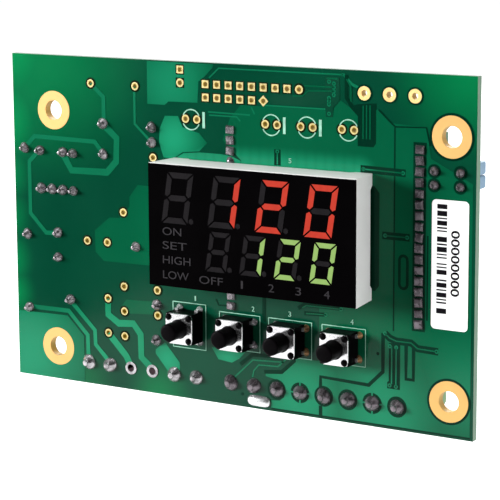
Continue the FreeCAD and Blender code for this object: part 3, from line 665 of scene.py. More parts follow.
BOARD_DEPTH = REAR - FRONT
MID_BOARD = (REAR + FRONT) / 2
CLEAR = FRONT - 0.9 * FOIL
LAND_DEPTH, PAD_DEPTH = 0.16 * MM, 0.18 * MM
DIAGONAL = math.pi / 4
VIAS = [(40.9, -15.1), (30.5, -12.9), (31.5, -22.6), (32.8, -22.7), (31.5, -15.2), (32.8, -15.3),
        (35.5, -20.3), (18.8, 32.8), (19.8, 32.5), (19.8, 31.8), (19.8, 31.1), (19.8, 30.4),
        (18.8, 29.8), (18.8, 29.2), (18.8, 28.6), (18.8, 26.9), (25.9, 17.2), (33.9, 17),
        (30.4, 5.3), (34.8, 5.3), (7.9, 19.2), (21.4, -9.4), (18.2, -10.8)]
rings("vias", VIAS, 0.4, 0.16, TRACK, FOIL, masked_copper, 12)
pad_halo = finish("pad_halo", srgb("0a1a06"), 0.3, specular=0.05, mottle=(0.2, 200))
ROUND_PADS = SPARE_HOLES + LAMP_HOLES
SQUARE_PADS = HEADER[:8] + HEADER[9:14]
for name, places, outer, inner, dark, sides, turn in (
        ("via_clearance", [(29.05, -16.9), (0, -28.4)], 0.32, 0.02, bare_channel, 12, 0.0),
        ("pad_clearances", ROUND_PADS + [HEADER[8]], 1.15, 0.7, pad_halo, 20, 0.0),
        ("square_pad_clearances", SQUARE_PADS + HEADER_PAIR, 1.36, 0.9, pad_halo, 4, DIAGONAL),
        ("large_pad_clearances", LARGE_HOLES, 1.65, 0.9, bare_channel, 32, 0.0),
        ("land_clearances", MOUNT_HOLES[2:], 4.3, 3.7, bare_channel, 64, 0.0)):
    rings(name, places, outer, inner, CLEAR, FOIL, dark, sides, turn)

for name, y in (("mounting_lands", FRONT), ("mounting_lands_rear", REAR)):
    rings(name, MOUNT_HOLES, 3.85, 1.98, y, LAND_DEPTH, gold_land, 64)
rings("mounting_linings", MOUNT_HOLES, 2.03, 1.96, MID_BOARD, BOARD_DEPTH, gold_bore,
      64)
for side, y in (("front", FRONT), ("rear", REAR)):
    for name, places, outer, inner, gold, sides, turn in (
            ("spare_pads", ROUND_PADS, 0.8, 0.42, small_gold, 20, 0.0),
            ("large_pads", LARGE_HOLES, 1.3, 0.6, gold_plate, 32, 0.0),
            ("square_pads", SQUARE_PADS + HEADER_PAIR[:1], 1.04, 0.56, small_gold, 4, DIAGONAL),
            ("diamond_pad", HEADER[14:], 1.05, 0.56, small_gold, 4, 0.0),
            ("end_pads", [HEADER[8], HEADER_PAIR[1]], 0.82, 0.42, small_gold, 20, 0.0)):
        rings(f"{name}_{side}", places, outer, inner, y, PAD_DEPTH, gold,
              sides, turn)
rings("hole_linings", SMALL_HOLES, 0.54, 0.42, MID_BOARD, BOARD_DEPTH + 0.2 * MM, copper_bore,
      20)
rings("large_linings", LARGE_HOLES, 0.72, 0.6, MID_BOARD, BOARD_DEPTH, gold_bore,
      24)


# ---- Silk print ----
# Pale ink screened over the mask: outlines of the parts, broken circles for the lamps that
# can be fitted, and a plain number beside each place.
silk_ink = finish("silk_ink", srgb("8abfa8"), 0.75, specular=0.2, mottle=(0.22, 700),
                  relief=(0.2, 1500))
SWITCH_OUTLINES = [(-15.6, -8.1, -11.8, -20.8), (-5, 4, -12.7, -19.8), (5.9, 15.2, -12.7, -19.8),
                   (17.4, 26.5, -12.7, -19.8)]
outline_lines = [[(a, b), (c, b), (c, d), (a, d), (a, b)] for a, c, b, d in SWITCH_OUTLINES]
lamp_lines = [arc(x, 24.1, 1.95, start, start + 130) for x in (-11.0, 6.6, 14.2, 22.8)
              for start in (25, 205)]
bar_lines = [[(x + 2.8, 25.7), (x + 2.8, 22.6)] for x in (-11.0, 6.6, 14.2)]
for name, lines, width in (("printed_outlines", outline_lines, 0.17),
                           ("printed_lamp_circles", lamp_lines, 0.22),
                           ("printed_lamp_bars", bar_lines, 0.55)):
    strips(name, lines, width, TRACK, silk_ink)


def lettering(name, words, x, z, height, width, y, depth, material, turned=False,
              weight=0.0):
    """Flat solid lettering in a box of a given height and width, its lower left at (x, z)."""
    curve = bpy.data.curves.new(name, "FONT")
    curve.body = words
    curve.extrude = 0.5
    curve.offset = weight
    mesh = evaluated(placed(name + "_text", curve))
    low = [min(v.co[i] for v in mesh.vertices) for i in range(2)]
    high = [max(v.co[i] for v in mesh.vertices) for i in range(2)]
    across, up = [s * MM / (high[i] - low[i]) for i, s in enumerate((width, height))]
    for vertex in mesh.vertices:
        a, b = (vertex.co.x - low[0]) * across, (vertex.co.y - low[1]) * up
        if turned:
            a, b = (high[1] - low[1]) * up - b, a
        vertex.co = (x * MM + a, y - vertex.co.z * depth, z * MM + b)
    form = bmesh.new()
    form.from_mesh(mesh)
    bmesh.ops.remove_doubles(form, verts=form.verts, dist=1e-7)
    bmesh.ops.recalc_face_normals(form, faces=form.faces)
    form.to_mesh(mesh)
    form.free()
    return own_mesh(name, mesh, material)


for number, (x, z, height, width) in enumerate([
        (-10.6, -11.2, 0.95, 0.3), (2.2, -11.9, 0.95, 0.6), (10.2, -12, 0.95, 0.6),
        (23.4, -12, 0.95, 0.6), (10.3, 17.2, 0.9, 0.6)], 1):
    lettering(f"printed_number_{number}", str(number), x, z, height, width, TRACK, FOIL, silk_ink)


# ---- Bar label ----
# A small white paper label with rounded corners, stuck beside the right pin strip. It has a
# row of plain bars and a row of noughts, and stands for no real number.
label_paper = finish("label_paper", (0.93, 0.93, 0.92), 0.6, specular=0.3, mottle=(0.015, 300))
label_ink = finish("label_ink", (0.003, 0.002, 0.004), 0.6, specular=0.05, mottle=(0.1, 90))
left, right, low, high = 39.7, 46.9, -10.85, 12.8
corner = 0.8
middles = [(right - corner, high - corner), (left + corner, high - corner),
           (left + corner, low + corner), (right - corner, low + corner)]
label_outline = [point for quarter, (x, z) in enumerate(middles)
                 for point in arc(x, z, corner, 90 * quarter, 90 * quarter + 90, 5)]
plates("bar_label", [label_outline], FRONT - 0.12 * MM, FRONT - FOIL, label_paper)
bar_left, bar_right, bar_foot = 40.75, 42.7, -8.4
bars, z = [], 12.0
chance = random.Random(7)
while z > bar_foot:
    thick = chance.choice((0.25, 0.3, 0.85, 0.95))
    bars.append([(bar_left, z), (bar_right, z), (bar_right, z - thick), (bar_left, z - thick)])
    z -= thick + chance.choice((0.3, 0.35, 0.6, 0.9))
plates("label_bars", bars, FRONT - 0.14 * MM, FRONT - 0.11 * MM, label_ink)
LETTER_DEPTH = 0.02 * MM
lettering("label_noughts", "00000000", 43.5, -4.6, 1.7, 12.0, FRONT - 0.125 * MM, LETTER_DEPTH,
          label_ink, turned=True, weight=0.022)


# ---- Display ----
# A two-line LED display: a white moulded shell on four corner feet, filled with resin, with a
# black printed face. Its segments lean, with mitred ends, and the lit ones shine.
CREASE = math.radians(30)
WELD = 1e-6


def softened(node, name, material, width, segments=2):
    """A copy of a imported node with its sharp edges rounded, which stands in for it."""
    form = bmesh.new()
    form.from_mesh(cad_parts[node].data)
    bmesh.ops.remove_doubles(form, verts=form.verts, dist=WELD)
    bmesh.ops.dissolve_limit(form, angle_limit=math.radians(1), verts=form.verts,
                             edges=form.edges)
    sharp = [e for e in form.edges if len(e.link_faces) == 2 and e.calc_face_angle(0) > CREASE]
    bmesh.ops.bevel(form, geom=sharp, offset=width * MM, segments=segments, profile=0.5,
                    affect="EDGES", clamp_overlap=True)
    return own_mesh(name, as_mesh(form, name), material, [node])


shell_white = finish("shell_white", srgb("eeeeed"), 0.5, specular=0.4, mottle=(0.03, 150),
                     relief=(0.08, 900))
face_black = finish("face_black", (0.0005, 0.0003, 0.0005), 0.4, specular=0.008, mottle=(0.2, 90),
                    relief=(0.03, 1500))
resin = finish("cast_resin", srgb("b9b7a4"), 0.4, mottle=(0.06, 90))
segment_dark = finish("segment_dark", srgb("171517"), 0.5, specular=0.03, mottle=(0.12, 500))
softened("display_housing", "display_shell", shell_white, 0.12)


def lit_finish(name, colour, edge_colour):
    """A translucent segment with its lamp on, hotter in some places than in others."""
    material = finish(name, (0.004, 0.004, 0.004), 0.5, specular=0.02)
    tree = material.node_tree
    grain = tree.nodes["grain"]
    grain.inputs["Mottle Scale"].default_value = 700
    shader = tree.nodes["Principled BSDF"].inputs
    fill(tree, shader["Emission Color"],
         blend(tree, grain.outputs["Height"], (*edge_colour, 1), (*colour, 1)))
    fill(tree, shader["Emission Strength"], 1.0)
    return material


legend_grey = finish("legend_grey", srgb("2c2a2d"), 0.5, specular=0.04, mottle=(0.1, 90))
pin_tin = finish("tinned_pin", (0.62, 0.62, 0.63), 0.32, metallic=0.9, mottle=(0.08, 400),
                 relief=(0.1, 1500))
for node, material in (
        ("display_face", face_black), ("display_carrier", resin), ("unlit_segments", segment_dark),
        ("red_segments", lit_finish("red_light", srgb("dd4431"), srgb("c13727"))),
        ("green_segments", lit_finish("green_light", srgb("a6cc75"), srgb("91b663"))),
        ("display_pins", pin_tin)):
    dress(node, material)

face_low, face_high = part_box("display_housing")
face_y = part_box("display_face")[0].y
shell_left, shell_top = face_low.x / MM, face_high.z / MM
LEGENDS = [
    # words, distance from the shell's left, distance of their foot below its top, width
    ("ON", 3.2, 13.6, 4.2), ("SET", 3.2, 16.3, 5.4), ("HIGH", 3.2, 19.1, 6.2),
    ("LOW", 3.2, 22.0, 5.8), ("OFF", 11.3, 22.2, 5.2), ("1", 20.4, 22.3, 0.45),
    ("2", 26.3, 22.3, 1.2), ("3", 32.0, 22.3, 1.2), ("4", 37.9, 22.3, 1.2),
]
for number, (words, x, z, width) in enumerate(LEGENDS, 1):
    lettering(f"face_legend_{number}", words, shell_left + x, shell_top - z, 1.5, width, face_y,
              LETTER_DEPTH, legend_grey)


# ---- Push buttons ----
# Four 6 mm tactile switches: a black moulded base, a bright plate held by four black stakes,
# and a black plunger that slides in through it on a spring strip.
moulded_black = finish("moulded_black", (0.0014, 0.001, 0.0014), 0.38, specular=0.025,
                       mottle=(0.2, 500), relief=(0.15, 2500))
bright_plate = finish("bright_plate", srgb("d6d6d8"), 0.14, metallic=0.92, mottle=(0.05, 400),
                      relief=(0.1, 1500))


def turned_form(name, profile, place=(0, 0, 0), axis="-Y", sides=32, sharp=35):
    """A shape turned about an axis from (radius, distance along) pairs, in millimetres."""
    along = {"-Y": Vector((0, -1, 0)), "Y": Vector((0, 1, 0)), "X": Vector((1, 0, 0))}[axis]
    across = Vector((0, 0, 1))
    third = along.cross(across)
    form = bmesh.new()
    turns = [2 * math.pi * i / sides for i in range(sides)]
    rounds = [[form.verts.new(Vector(place) + MM * (along * distance
                                                    + across * radius * math.cos(turn)
                                                    + third * radius * math.sin(turn)))
               for turn in (turns if radius > 1e-6 else turns[:1])]
              for radius, distance in profile]
    for lower, upper in zip(rounds, rounds[1:]):
        for i in range(sides):
            j = (i + 1) % sides
            corners = dict.fromkeys([lower[i % len(lower)], lower[j % len(lower)],
                                     upper[j % len(upper)], upper[i % len(upper)]])
            if len(corners) > 2:
                form.faces.new(list(corners))
    for face in form.faces:
        face.smooth = True
    mesh = as_mesh(form, name)
    mesh.set_sharp_from_angle(angle=math.radians(sharp))
    return mesh


def copies_tree():
    """Geometry Nodes: sets a copy of a part on every point, a little turned and resized."""
    tree, given = new_tree(
        "copies_on_points", "GeometryNodeTree",
        {"Geometry": "Geometry", "Part": "Object", "Turn": "Float", "Unevenness": "Float",
         "Finish": "Material"}, {"Geometry": "Geometry"})
    part = node_after(tree, "GeometryNodeObjectInfo", Object=given["Part"], As_Instance=False)
    turn = node_after(tree, "FunctionNodeRandomValue", {"data_type": "FLOAT"}, Seed=4)
    fill(tree, turn.inputs[2], reckon(tree, "MULTIPLY", given["Turn"], -1.0)[0])
    fill(tree, turn.inputs[3], given["Turn"])
    turned = node_after(tree, "ShaderNodeCombineXYZ", Y=turn.outputs[1])
    size = node_after(tree, "FunctionNodeRandomValue", {"data_type": "FLOAT_VECTOR"}, Seed=9)
    for socket, sign in zip(size.inputs, (-1.0, 1.0)):
        fill(tree, socket, reckon(tree, "MULTIPLY_ADD", given["Unevenness"], sign, 1.0)[0])
    spread = node_after(tree, "GeometryNodeInstanceOnPoints", Points=given["Geometry"],
                        Instance=part.outputs["Geometry"], Rotation=turned.outputs[0],
                        Scale=size.outputs[0])
    return close_tree(tree, spread.outputs["Instances"], given["Finish"])


COPIES = copies_tree()


def copies(name, part_mesh, places, y, material, turn=0.0, unevenness=0.0, replaces=()):
    """Sets copies of a part at places in X and Z, as one piece."""
    part = placed(name + "_part", part_mesh)
    mesh = grown(name, points_mesh(name, places, y), COPIES, Part=part, Turn=turn,
                 Unevenness=unevenness, Finish=material)
    bpy.data.objects.remove(part)
    return own_mesh(name, mesh, material, replaces)


def lead_places(node):
    """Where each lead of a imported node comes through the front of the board, in X and Z."""
    form = bmesh.new()
    form.from_mesh(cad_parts[node].data)
    bmesh.ops.remove_doubles(form, verts=form.verts, dist=WELD)
    seen, places = set(), []
    for start in form.verts:
        if start in seen:
            continue
        island, queue = [], [start]
        seen.add(start)
        while queue:
            vertex = queue.pop()
            island.append(vertex.co.copy())
            for edge in vertex.link_edges:
                other = edge.other_vert(vertex)
                if other not in seen:
                    seen.add(other)
                    queue.append(other)
        front = min(point.y for point in island)
        foot = [point for point in island if point.y < front + 1e-5]
        places.append((sum(point.x for point in foot) / len(foot) / MM,
                       sum(point.z for point in foot) / len(foot) / MM))
    form.free()
    return places


def wall(form, first, second):
    """Joins two closed rings of points with faces."""
    for i in range(len(first)):
        j = (i + 1) % len(first)
        form.faces.new((first[i], first[j], second[j], second[i]))


stake_form = turned_form("stake", [(0, -0.02), (0.66, -0.02), (0.66, 0.1), (0.58, 0.22),
                                   (0.38, 0.31), (0, 0.34)], sides=16, sharp=60)
STAND = 0.7 * MM
PLATE_BORE = 1.83
PLATE_FRONT, PLATE_SHOULDER = 0.3, 0.22
STAKE_REACH = 2.25
PLATE_SIDES = 32
turns = [2 * math.pi * i / PLATE_SIDES for i in range(PLATE_SIDES)]
for number in range(1, 5):
    base_low, base_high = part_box(f"button_{number}_base")
    centre_x, centre_z = (base_low.x + base_high.x) / 2, (base_low.z + base_high.z) / 2
    body = softened(f"button_{number}_base", f"switch_base_{number}", moulded_black,
                    0.12)
    for vertex in body.data.vertices:
        if vertex.co.y < base_low.y + 0.6 * MM:
            vertex.co.y -= STAND
    base_low.y -= STAND
    reach = (base_high.x - base_low.x) / 2 / MM
    square_ring = []
    for turn in turns:
        c, s = math.cos(turn), math.sin(turn)
        grow = min(reach / max(abs(c), abs(s)), reach * 1.32)
        square_ring.append((c * grow, s * grow))
    bore_ring = [(PLATE_BORE * math.cos(turn), PLATE_BORE * math.sin(turn)) for turn in turns]
    form = bmesh.new()
    made = [[form.verts.new((centre_x + a * k * MM, base_low.y + y * MM, centre_z + b * k * MM))
             for a, b in ring]
            for ring, y, k in (
                (square_ring, 0.0, 1.0), (square_ring, -PLATE_SHOULDER, 1.0),
                (square_ring, -PLATE_FRONT, 0.97), (bore_ring, -PLATE_FRONT, 1.05),
                (bore_ring, -PLATE_SHOULDER, 1.0), (bore_ring, 0.0, 1.0))]
    for first, second in zip(made, made[1:] + made[:1]):
        wall(form, first, second)
    own_mesh(f"switch_plate_{number}", as_mesh(form, "switch_plate"), bright_plate,
             [f"button_{number}_cover"])
    stakes = [(centre_x / MM + a * STAKE_REACH, centre_z / MM + b * STAKE_REACH)
              for a in (-1, 1) for b in (-1, 1)]
    copies(f"switch_stakes_{number}", stake_form, stakes, base_low.y - PLATE_FRONT * MM,
           moulded_black)
    plunger_low, plunger_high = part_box(f"button_{number}_plunger")
    tip = (plunger_high.y - plunger_low.y) / MM
    own_mesh(f"plunger_{number}", turned_form(
        "plunger", [(0, 0), (2.2, 0), (2.2, 0.68), (1.74, 0.7), (1.72, tip - 0.25),
                    (1.55, tip - 0.06), (1.3, tip), (0, tip - 0.04)],
        (centre_x, plunger_high.y, centre_z)), moulded_black,
        [f"button_{number}_plunger"], f"button_{number}")
    dress(f"button_{number}_dome", bright_plate)
    dress(f"button_{number}_legs", pin_tin)


# ---- Solder joints ----
# Each lead is soldered to its pad in a concave fillet, with the cut end of the lead at its
# tip. The joints differ a little in turn and size, as hand-finished ones do.
solder_grey = finish("solder_grey", (0.27, 0.245, 0.265), 0.26, metallic=0.75, mottle=(0.55, 900),
                     relief=(0.25, 1100))
bright_solder = finish("bright_solder", (0.36, 0.345, 0.36), 0.22, metallic=0.8, mottle=(0.6, 800),
                       relief=(0.3, 900))
dull_solder = finish("dull_solder", (0.15, 0.13, 0.145), 0.27, metallic=0.7, mottle=(0.4, 700),
                     relief=(0.2, 900))
fresh_solder = finish("fresh_solder", (0.66, 0.67, 0.68), 0.26, metallic=0.85, mottle=(0.1, 700),
                      relief=(0.2, 900))
JOINT = [(0, 0), (1.08, 0), (1.04, 0.14), (0.9, 0.44), (0.68, 0.78), (0.48, 1.04), (0.36, 1.24),
         (0.32, 1.5), (0, 1.56)]
LOW_JOINT = [(0, 0), (0.9, 0), (0.8, 0.16), (0.55, 0.38), (0.42, 0.55), (0, 0.6)]
TERMINAL_JOINT = [(0, 0), (1.55, 0), (1.5, 0.16), (1.3, 0.5), (1.0, 0.86), (0.75, 1.1),
                  (0.62, 1.3), (0.55, 1.5), (0, 1.56)]
STRIP_JOINT = [(0, 0), (1.2, 0), (1.16, 0.2), (0.84, 0.62), (0.8, 0.64), (0, 0.64)]
LEG_JOINT = [(0, 0), (0.8, 0), (0.76, 0.1), (0.6, 0.36), (0.42, 0.66), (0.3, 0.9), (0, 0.95)]
shell_low, shell_high = face_low / MM, face_high / MM


def by_display(x, z, margin):
    """Whether a place lies under the display or within a margin of it."""
    return (shell_low.x - margin < x < shell_high.x + margin
            and shell_low.z - margin < z < shell_high.z + margin)


def sorted_joints(nodes, skipped=()):
    """The places of joints that stand free, and of those cut low beside the display."""
    free, cut = [], []
    for node in nodes:
        for x, z in lead_places(node):
            is_skipped = any(abs(x - a) < 0.1 and abs(z - b) < 0.1 for a, b in skipped)
            if not is_skipped and not by_display(x, z, 0):
                (cut if by_display(x, z, 1.0) else free).append((x, z))
    return free, cut


def joints(name, profile, places, metal, unevenness, sides=12, wide=1.0, tall=1.0, y=FRONT,
           axis="-Y", replaces=()):
    """Solder joints of one profile, resized, at places in X and Z."""
    form = turned_form("joint", [(radius * wide, height * tall) for radius, height in profile],
                       axis=axis, sides=sides, sharp=60)
    copies(name, form, places, y, metal, turn=3.0, unevenness=unevenness,
           replaces=replaces)


open_terminals = sorted(lead_places("power_terminals_pins"))[2:4]
free_joints, cut_joints = sorted_joints(["component_leads", "resistor_leads"])
terminal_joints = sorted_joints(["power_terminals_pins", "signal_terminals_pins"],
                                skipped=open_terminals)[0]
strip_joints, strip_cut = sorted_joints(["left_strip_pins", "right_strip_pins"])
# The film capacitors' leads are right of the first of these, and the signal terminals right of
# the second. The ground pour, which needs its foil cleared round each pin, starts at the third.
FILM_FROM, SIGNAL_FROM, GROUND_FROM = 36, -8, 5
film_joints = [p for p in free_joints if p[0] > FILM_FROM]
free_joints = [p for p in free_joints if p[0] <= FILM_FROM]
joints("front_joints", JOINT, free_joints, solder_grey, 0.12, sides=14, replaces=["front_solder"])
rings("film_joint_clearances", film_joints, 1.3, 0.7, CLEAR, FOIL, bare_channel, 20)
joints("film_joints", JOINT, film_joints, dull_solder, 0.08, sides=14, wide=0.82, tall=0.9)
rings("joint_clearances", [p for p in terminal_joints if p[0] > GROUND_FROM], 2.0, 1.4, CLEAR,
      FOIL, bare_channel, 24)
# Two of the ways are tied to the ground pour, by four spokes each.
SPOKE = 2.1
grounded = [(x, z) for x, z in terminal_joints if 10 < x < 15 or 26 < x < 30]
spokes = [[(x - a * SPOKE, z - b * SPOKE), (x + a * SPOKE, z + b * SPOKE)] for x, z in grounded
          for a, b in ((1, 0), (0, 1))]
strips("thermal_spokes", spokes, 0.3, TRACK, masked_pour)
power_joints = [p for p in terminal_joints if p[0] < SIGNAL_FROM]
signal_joints = [p for p in terminal_joints if p[0] >= SIGNAL_FROM]
joints("power_terminal_joints", TERMINAL_JOINT, power_joints, bright_solder, 0.1, sides=16)
joints("signal_terminal_joints", TERMINAL_JOINT, signal_joints, dull_solder, 0.1, sides=16)
leg_joints = [p for number in range(1, 5) for p in lead_places(f"button_{number}_legs")]
fluxed_solder = finish("fluxed_solder", srgb("80603e"), 0.32, metallic=0.5, mottle=(0.6, 900),
                       relief=(0.25, 1100))
bright_legs = [p for p in leg_joints if p[0] < -5 and p[1] > -16]
for name, chosen, metal in (
        ("bright", bright_legs, fresh_solder),
        ("plain", [p for p in leg_joints if p[0] < 12 and p not in bright_legs], solder_grey),
        ("fluxed", [p for p in leg_joints if p[0] >= 12], fluxed_solder)):
    joints(f"leg_joints_{name}", LEG_JOINT, chosen, metal, 0.1)
square_joint = turned_form("joint", STRIP_JOINT, sides=4, sharp=20)
square_joint.transform(Matrix.Rotation(DIAGONAL, 4, "Y"))
for name, chosen, metal in (("left", [p for p in strip_joints if p[0] < 10], solder_grey),
                            ("right", [p for p in strip_joints if p[0] >= 10], dull_solder)):
    copies(f"{name}_strip_joints", square_joint, chosen, FRONT, metal, turn=0.12,
           unevenness=0.06)
joints("cut_joints", LOW_JOINT, cut_joints + strip_cut, solder_grey, 0.08)
rings("open_terminal_pads", open_terminals, 1.3, 0.76, FRONT, 0.3 * MM, bright_solder,
      24)
# Painted shade: the dark disc in each open pad stands for the shade down its hole.
painted_bore_shade = finish("painted_bore_shade", srgb("2e2024"), 0.4, specular=0.1, mottle=(0.3, 900))
rings("open_terminal_wells", open_terminals, 0.8, 0.02, FRONT, 0.12 * MM, painted_bore_shade, 24)
BEAD_X, BEAD_Z = 3.75 * MM, -29.3 * MM
bead_half = [(0, 2.45), (0.62, 2.35), (0.92, 2.0), (1.08, 1.4)]
bead = turned_form("solder_bead", [(r, -along) for r, along in bead_half] + [(1.12, 0)]
                   + bead_half[::-1], axis="X", sides=20, sharp=80)
for vertex in bead.vertices:
    flat = vertex.co
    vertex.co = (BEAD_X + flat.x, FRONT - 0.02 * MM + flat.y * 0.7, BEAD_Z + flat.z)
own_mesh("solder_bead", bead, fresh_solder)

joints("rear_joints", JOINT, lead_places("display_pins") + leg_joints, solder_grey, 0.1,
       wide=0.85, tall=0.75, y=REAR, axis="Y", replaces=["rear_solder"])


# ---- Terminal blocks ----
# Two rising-cage terminal blocks on the rear: pale green moulded housings, a plated cage and a
# slotted screw in each way, and pins that come through the board.
terminal_green = finish("terminal_green", srgb("7fa674"), 0.45, specular=0.4, mottle=(0.05, 120),
                        relief=(0.1, 900))
plated_steel = finish("plated_steel", (0.55, 0.55, 0.56), 0.3, metallic=0.95, mottle=(0.08, 500),
                      relief=(0.15, 1500))


SCREW_TALL = 1.5


def screw_head():
    """A slotted cheese head, pointing away from the board."""
    form = bmesh.new()
    radius, slot, floor_depth = 1.8, 0.3, 0.75
    edge = math.degrees(math.asin(slot / radius))
    outlines = [(arc(0, 0, radius, 0, 360, 24)[:-1], 0.0, floor_depth),
                (arc(0, 0, radius, edge, 180 - edge, 12), floor_depth - 0.01, SCREW_TALL),
                (arc(0, 0, radius, 180 + edge, 360 - edge, 12), floor_depth - 0.01, SCREW_TALL)]
    for outline, low, high in outlines:
        layers = [(1.0, low), (1.0, high - 0.15), (0.93, high)]
        made = [[form.verts.new((x * k * MM, y * MM, z * k * MM)) for x, z in outline]
                for k, y in layers]
        form.faces.new(made[0])
        form.faces.new(made[-1])
        for first, second in zip(made, made[1:]):
            wall(form, first, second)
    bmesh.ops.recalc_face_normals(form, faces=form.faces)
    return as_mesh(form, "screw_head")


for block in ("power", "signal"):
    softened(f"{block}_terminals_housing", f"{block}_block_housing", terminal_green,
             0.18)
    dress(f"{block}_terminals_cages", plated_steel)
    dress(f"{block}_terminals_pins", pin_tin)
    screw_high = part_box(f"{block}_terminals_screws")[1]
    copies(f"{block}_block_screws", screw_head(), lead_places(f"{block}_terminals_pins"),
           screw_high.y - SCREW_TALL * MM, plated_steel, turn=0.6,
           replaces=[f"{block}_terminals_screws"])


# ---- Processor card ----
# A second, smaller board stands off the rear on two pin strips. It carries the processor, a
# flat square package with leads on all four sides, and a crystal in a rounded metal can.
dress("processor_card", bare_mask)
for side in ("left", "right"):
    softened(f"{side}_strip_spacer", f"{side}_strip_body", moulded_black, 0.2)
    dress(f"{side}_strip_pins", pin_tin)
card_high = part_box("processor_card")[1]
card_joints = lead_places("left_strip_pins") + lead_places("right_strip_pins")
rings("card_pads", card_joints, 0.75, 0.2, card_high.y, 0.1 * MM, gold_plate, 16)
joints("card_joints", JOINT, card_joints, solder_grey, 0.08, sides=10, wide=0.7, tall=0.7,
       y=card_high.y, axis="Y")
package_black = finish("package_black", (0.012, 0.012, 0.013), 0.6, mottle=(0.15, 800),
                       relief=(0.3, 3000))
softened("processor_chip", "processor_package", package_black, 0.15)
crystal_can = finish("crystal_can", (0.44, 0.44, 0.45), 0.34, metallic=0.85, mottle=(0.05, 90))
softened("crystal", "crystal_can", crystal_can, 0.9, segments=4)
chip_low, chip_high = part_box("processor_chip")
lead_form = bmesh.new()
profile = [(-0.1, 0.75), (0.3, 0.75), (0.5, 0.2), (1.0, 0.1), (1.0, 0.0), (0.42, 0.08),
           (0.22, 0.62), (-0.1, 0.62)]
half = [[lead_form.verts.new((u * MM, v * MM, w * 0.11 * MM)) for u, v in profile]
        for w in (-1, 1)]
for ring in half:
    lead_form.faces.new(ring)
wall(lead_form, *half)
bmesh.ops.recalc_face_normals(lead_form, faces=lead_form.faces)
chip_centre = (chip_low + chip_high) / 2
chip_half = (chip_high.x - chip_low.x) / 2
SIDE_LEADS, LEAD_PITCH = 16, 0.5 * MM
for side in range(4):
    quarter = Matrix.Rotation(side * math.pi / 2, 3, "Y")
    turned_lead = lead_form.copy()
    bmesh.ops.rotate(turned_lead, verts=turned_lead.verts, matrix=quarter)
    mesh = bpy.data.meshes.new("gull_wing_lead")
    turned_lead.to_mesh(mesh)
    turned_lead.free()
    outward, along = quarter @ Vector((1, 0, 0)), quarter @ Vector((0, 0, 1))
    places = [chip_centre + outward * chip_half + along * LEAD_PITCH * (i - (SIDE_LEADS - 1) / 2)
              for i in range(SIDE_LEADS)]
    copies(f"processor_leads_{side + 1}", mesh, [(p.x / MM, p.z / MM) for p in places],
           card_high.y, pin_tin,
           replaces=["processor_leads"] if side == 0 else ())
lead_form.free()


# ---- Capacitors, relay and supply parts ----
# The power parts on the rear: sleeved aluminium cans, coated discs and moulded boxes, all
# pushed down to the board on their leads and soldered from the front.
sleeve = finish("sleeve_black", (0.012, 0.013, 0.016), 0.35, specular=0.5, mottle=(0.15, 300),
                relief=(0.12, 700))
aluminium = finish("aluminium", (0.44, 0.45, 0.46), 0.42, metallic=0.8, mottle=(0.05, 400),
                   relief=(0.15, 1200))
for node, name in (("smoothing_capacitor", "smoothing_can"), ("filter_capacitor", "filter_can")):
    low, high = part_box(node)
    radius, tall = (high.x - low.x) / 2 / MM, (high.y - low.y) / MM
    place = ((low.x + high.x) / 2, low.y, (low.z + high.z) / 2)
    own_mesh(name, turned_form(name, [
        (0, 0), (radius * 0.94, 0), (radius, 0.4), (radius, 1.2), (radius * 0.94, 1.6),
        (radius * 0.94, 2.0), (radius, 2.4), (radius, tall - 0.5), (radius * 0.96, tall - 0.1),
        (radius * 0.84, tall), (radius * 0.8, tall - 0.15), (0, tall - 0.15)], place, axis="Y",
        sides=48, sharp=45), sleeve, [node])
    own_mesh(name + "_top", turned_form(name + "_top", [
        (0, tall - 0.3), (radius * 0.8, tall - 0.3), (radius * 0.79, tall - 0.06),
        (radius * 0.7, tall - 0.02), (0, tall - 0.02)], place, axis="Y", sides=48, sharp=45),
        aluminium)

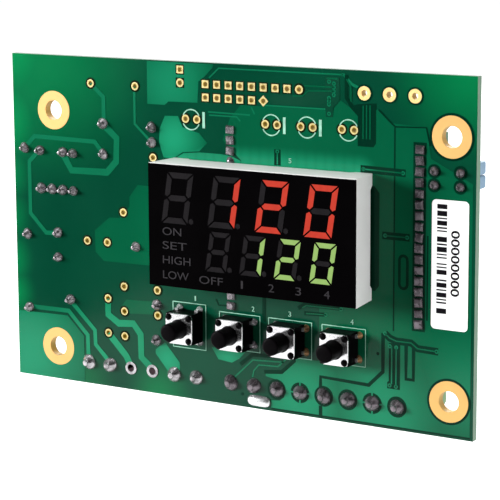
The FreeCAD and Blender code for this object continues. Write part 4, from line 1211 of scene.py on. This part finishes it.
blue_case = finish("blue_case", srgb("8aaecb"), 0.45, specular=0.4, mottle=(0.05, 200),
                   relief=(0.1, 1500))
yellow_case = finish("yellow_case", srgb("bd9630"), 0.45, specular=0.4, mottle=(0.05, 150),
                     relief=(0.1, 1500))
relay_case = finish("relay_case", (0.012, 0.012, 0.013), 0.4, specular=0.5, mottle=(0.12, 300),
                    relief=(0.1, 1500))
disc_coat = finish("disc_coat", srgb("2f5f9a"), 0.38, specular=0.5, mottle=(0.1, 400),
                   relief=(0.2, 1500))
tan_coat = finish("tan_coat", srgb("c9ab7c"), 0.4, specular=0.4, mottle=(0.08, 500),
                  relief=(0.15, 1500))
for node, name, material, slot, width in (
        ("film_capacitor_upper", "film_box_upper", blue_case, "pale_blue", 0.3),
        ("film_capacitor_lower", "film_box_lower", blue_case, "pale_blue", 0.3),
        ("input_capacitor", "input_box", yellow_case, "yellow_plastic", 0.35),
        ("output_relay", "relay_box", relay_case, "relay_black", 0.35),
        ("bridge_rectifier", "rectifier_slab", package_black, "black_plastic", 0.3),
        ("ceramic_capacitor", "ceramic_box", disc_coat, "disc_blue", 0.45),
        ("bypass_capacitor", "bypass_box", yellow_case, "yellow_plastic", 0.45)):
    softened(node, name, material, width, segments=3)

for node, name, half, material, slot, sides in (
        ("varistor", "varistor_disc", [(0, 0.1), (0.55, 0.05), (0.8, 0.2), (0.95, 0.7), (1, 1.3)],
         disc_coat, "disc_blue", 48),
        ("power_resistor", "resistor_body",
         [(0, 0), (0.6, 0.05), (0.95, 0.35), (1, 0.9), (0.97, 1.4), (0.86, 1.9)], tan_coat,
         "resistor_tan", 32)):
    low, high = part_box(node)
    radius, long = (high.y - low.y) / 2 / MM, (high.x - low.x) / MM
    profile = [(radius * share, inset) for share, inset in half]
    profile += [(r, long - inset) for r, inset in reversed(profile)]
    own_mesh(name, turned_form(name, profile, (low.x, (low.y + high.y) / 2, (low.z + high.z) / 2),
                               axis="X", sides=sides, sharp=70), material, [node])
dress("resistor_leads", pin_tin)
dress("component_leads", pin_tin)
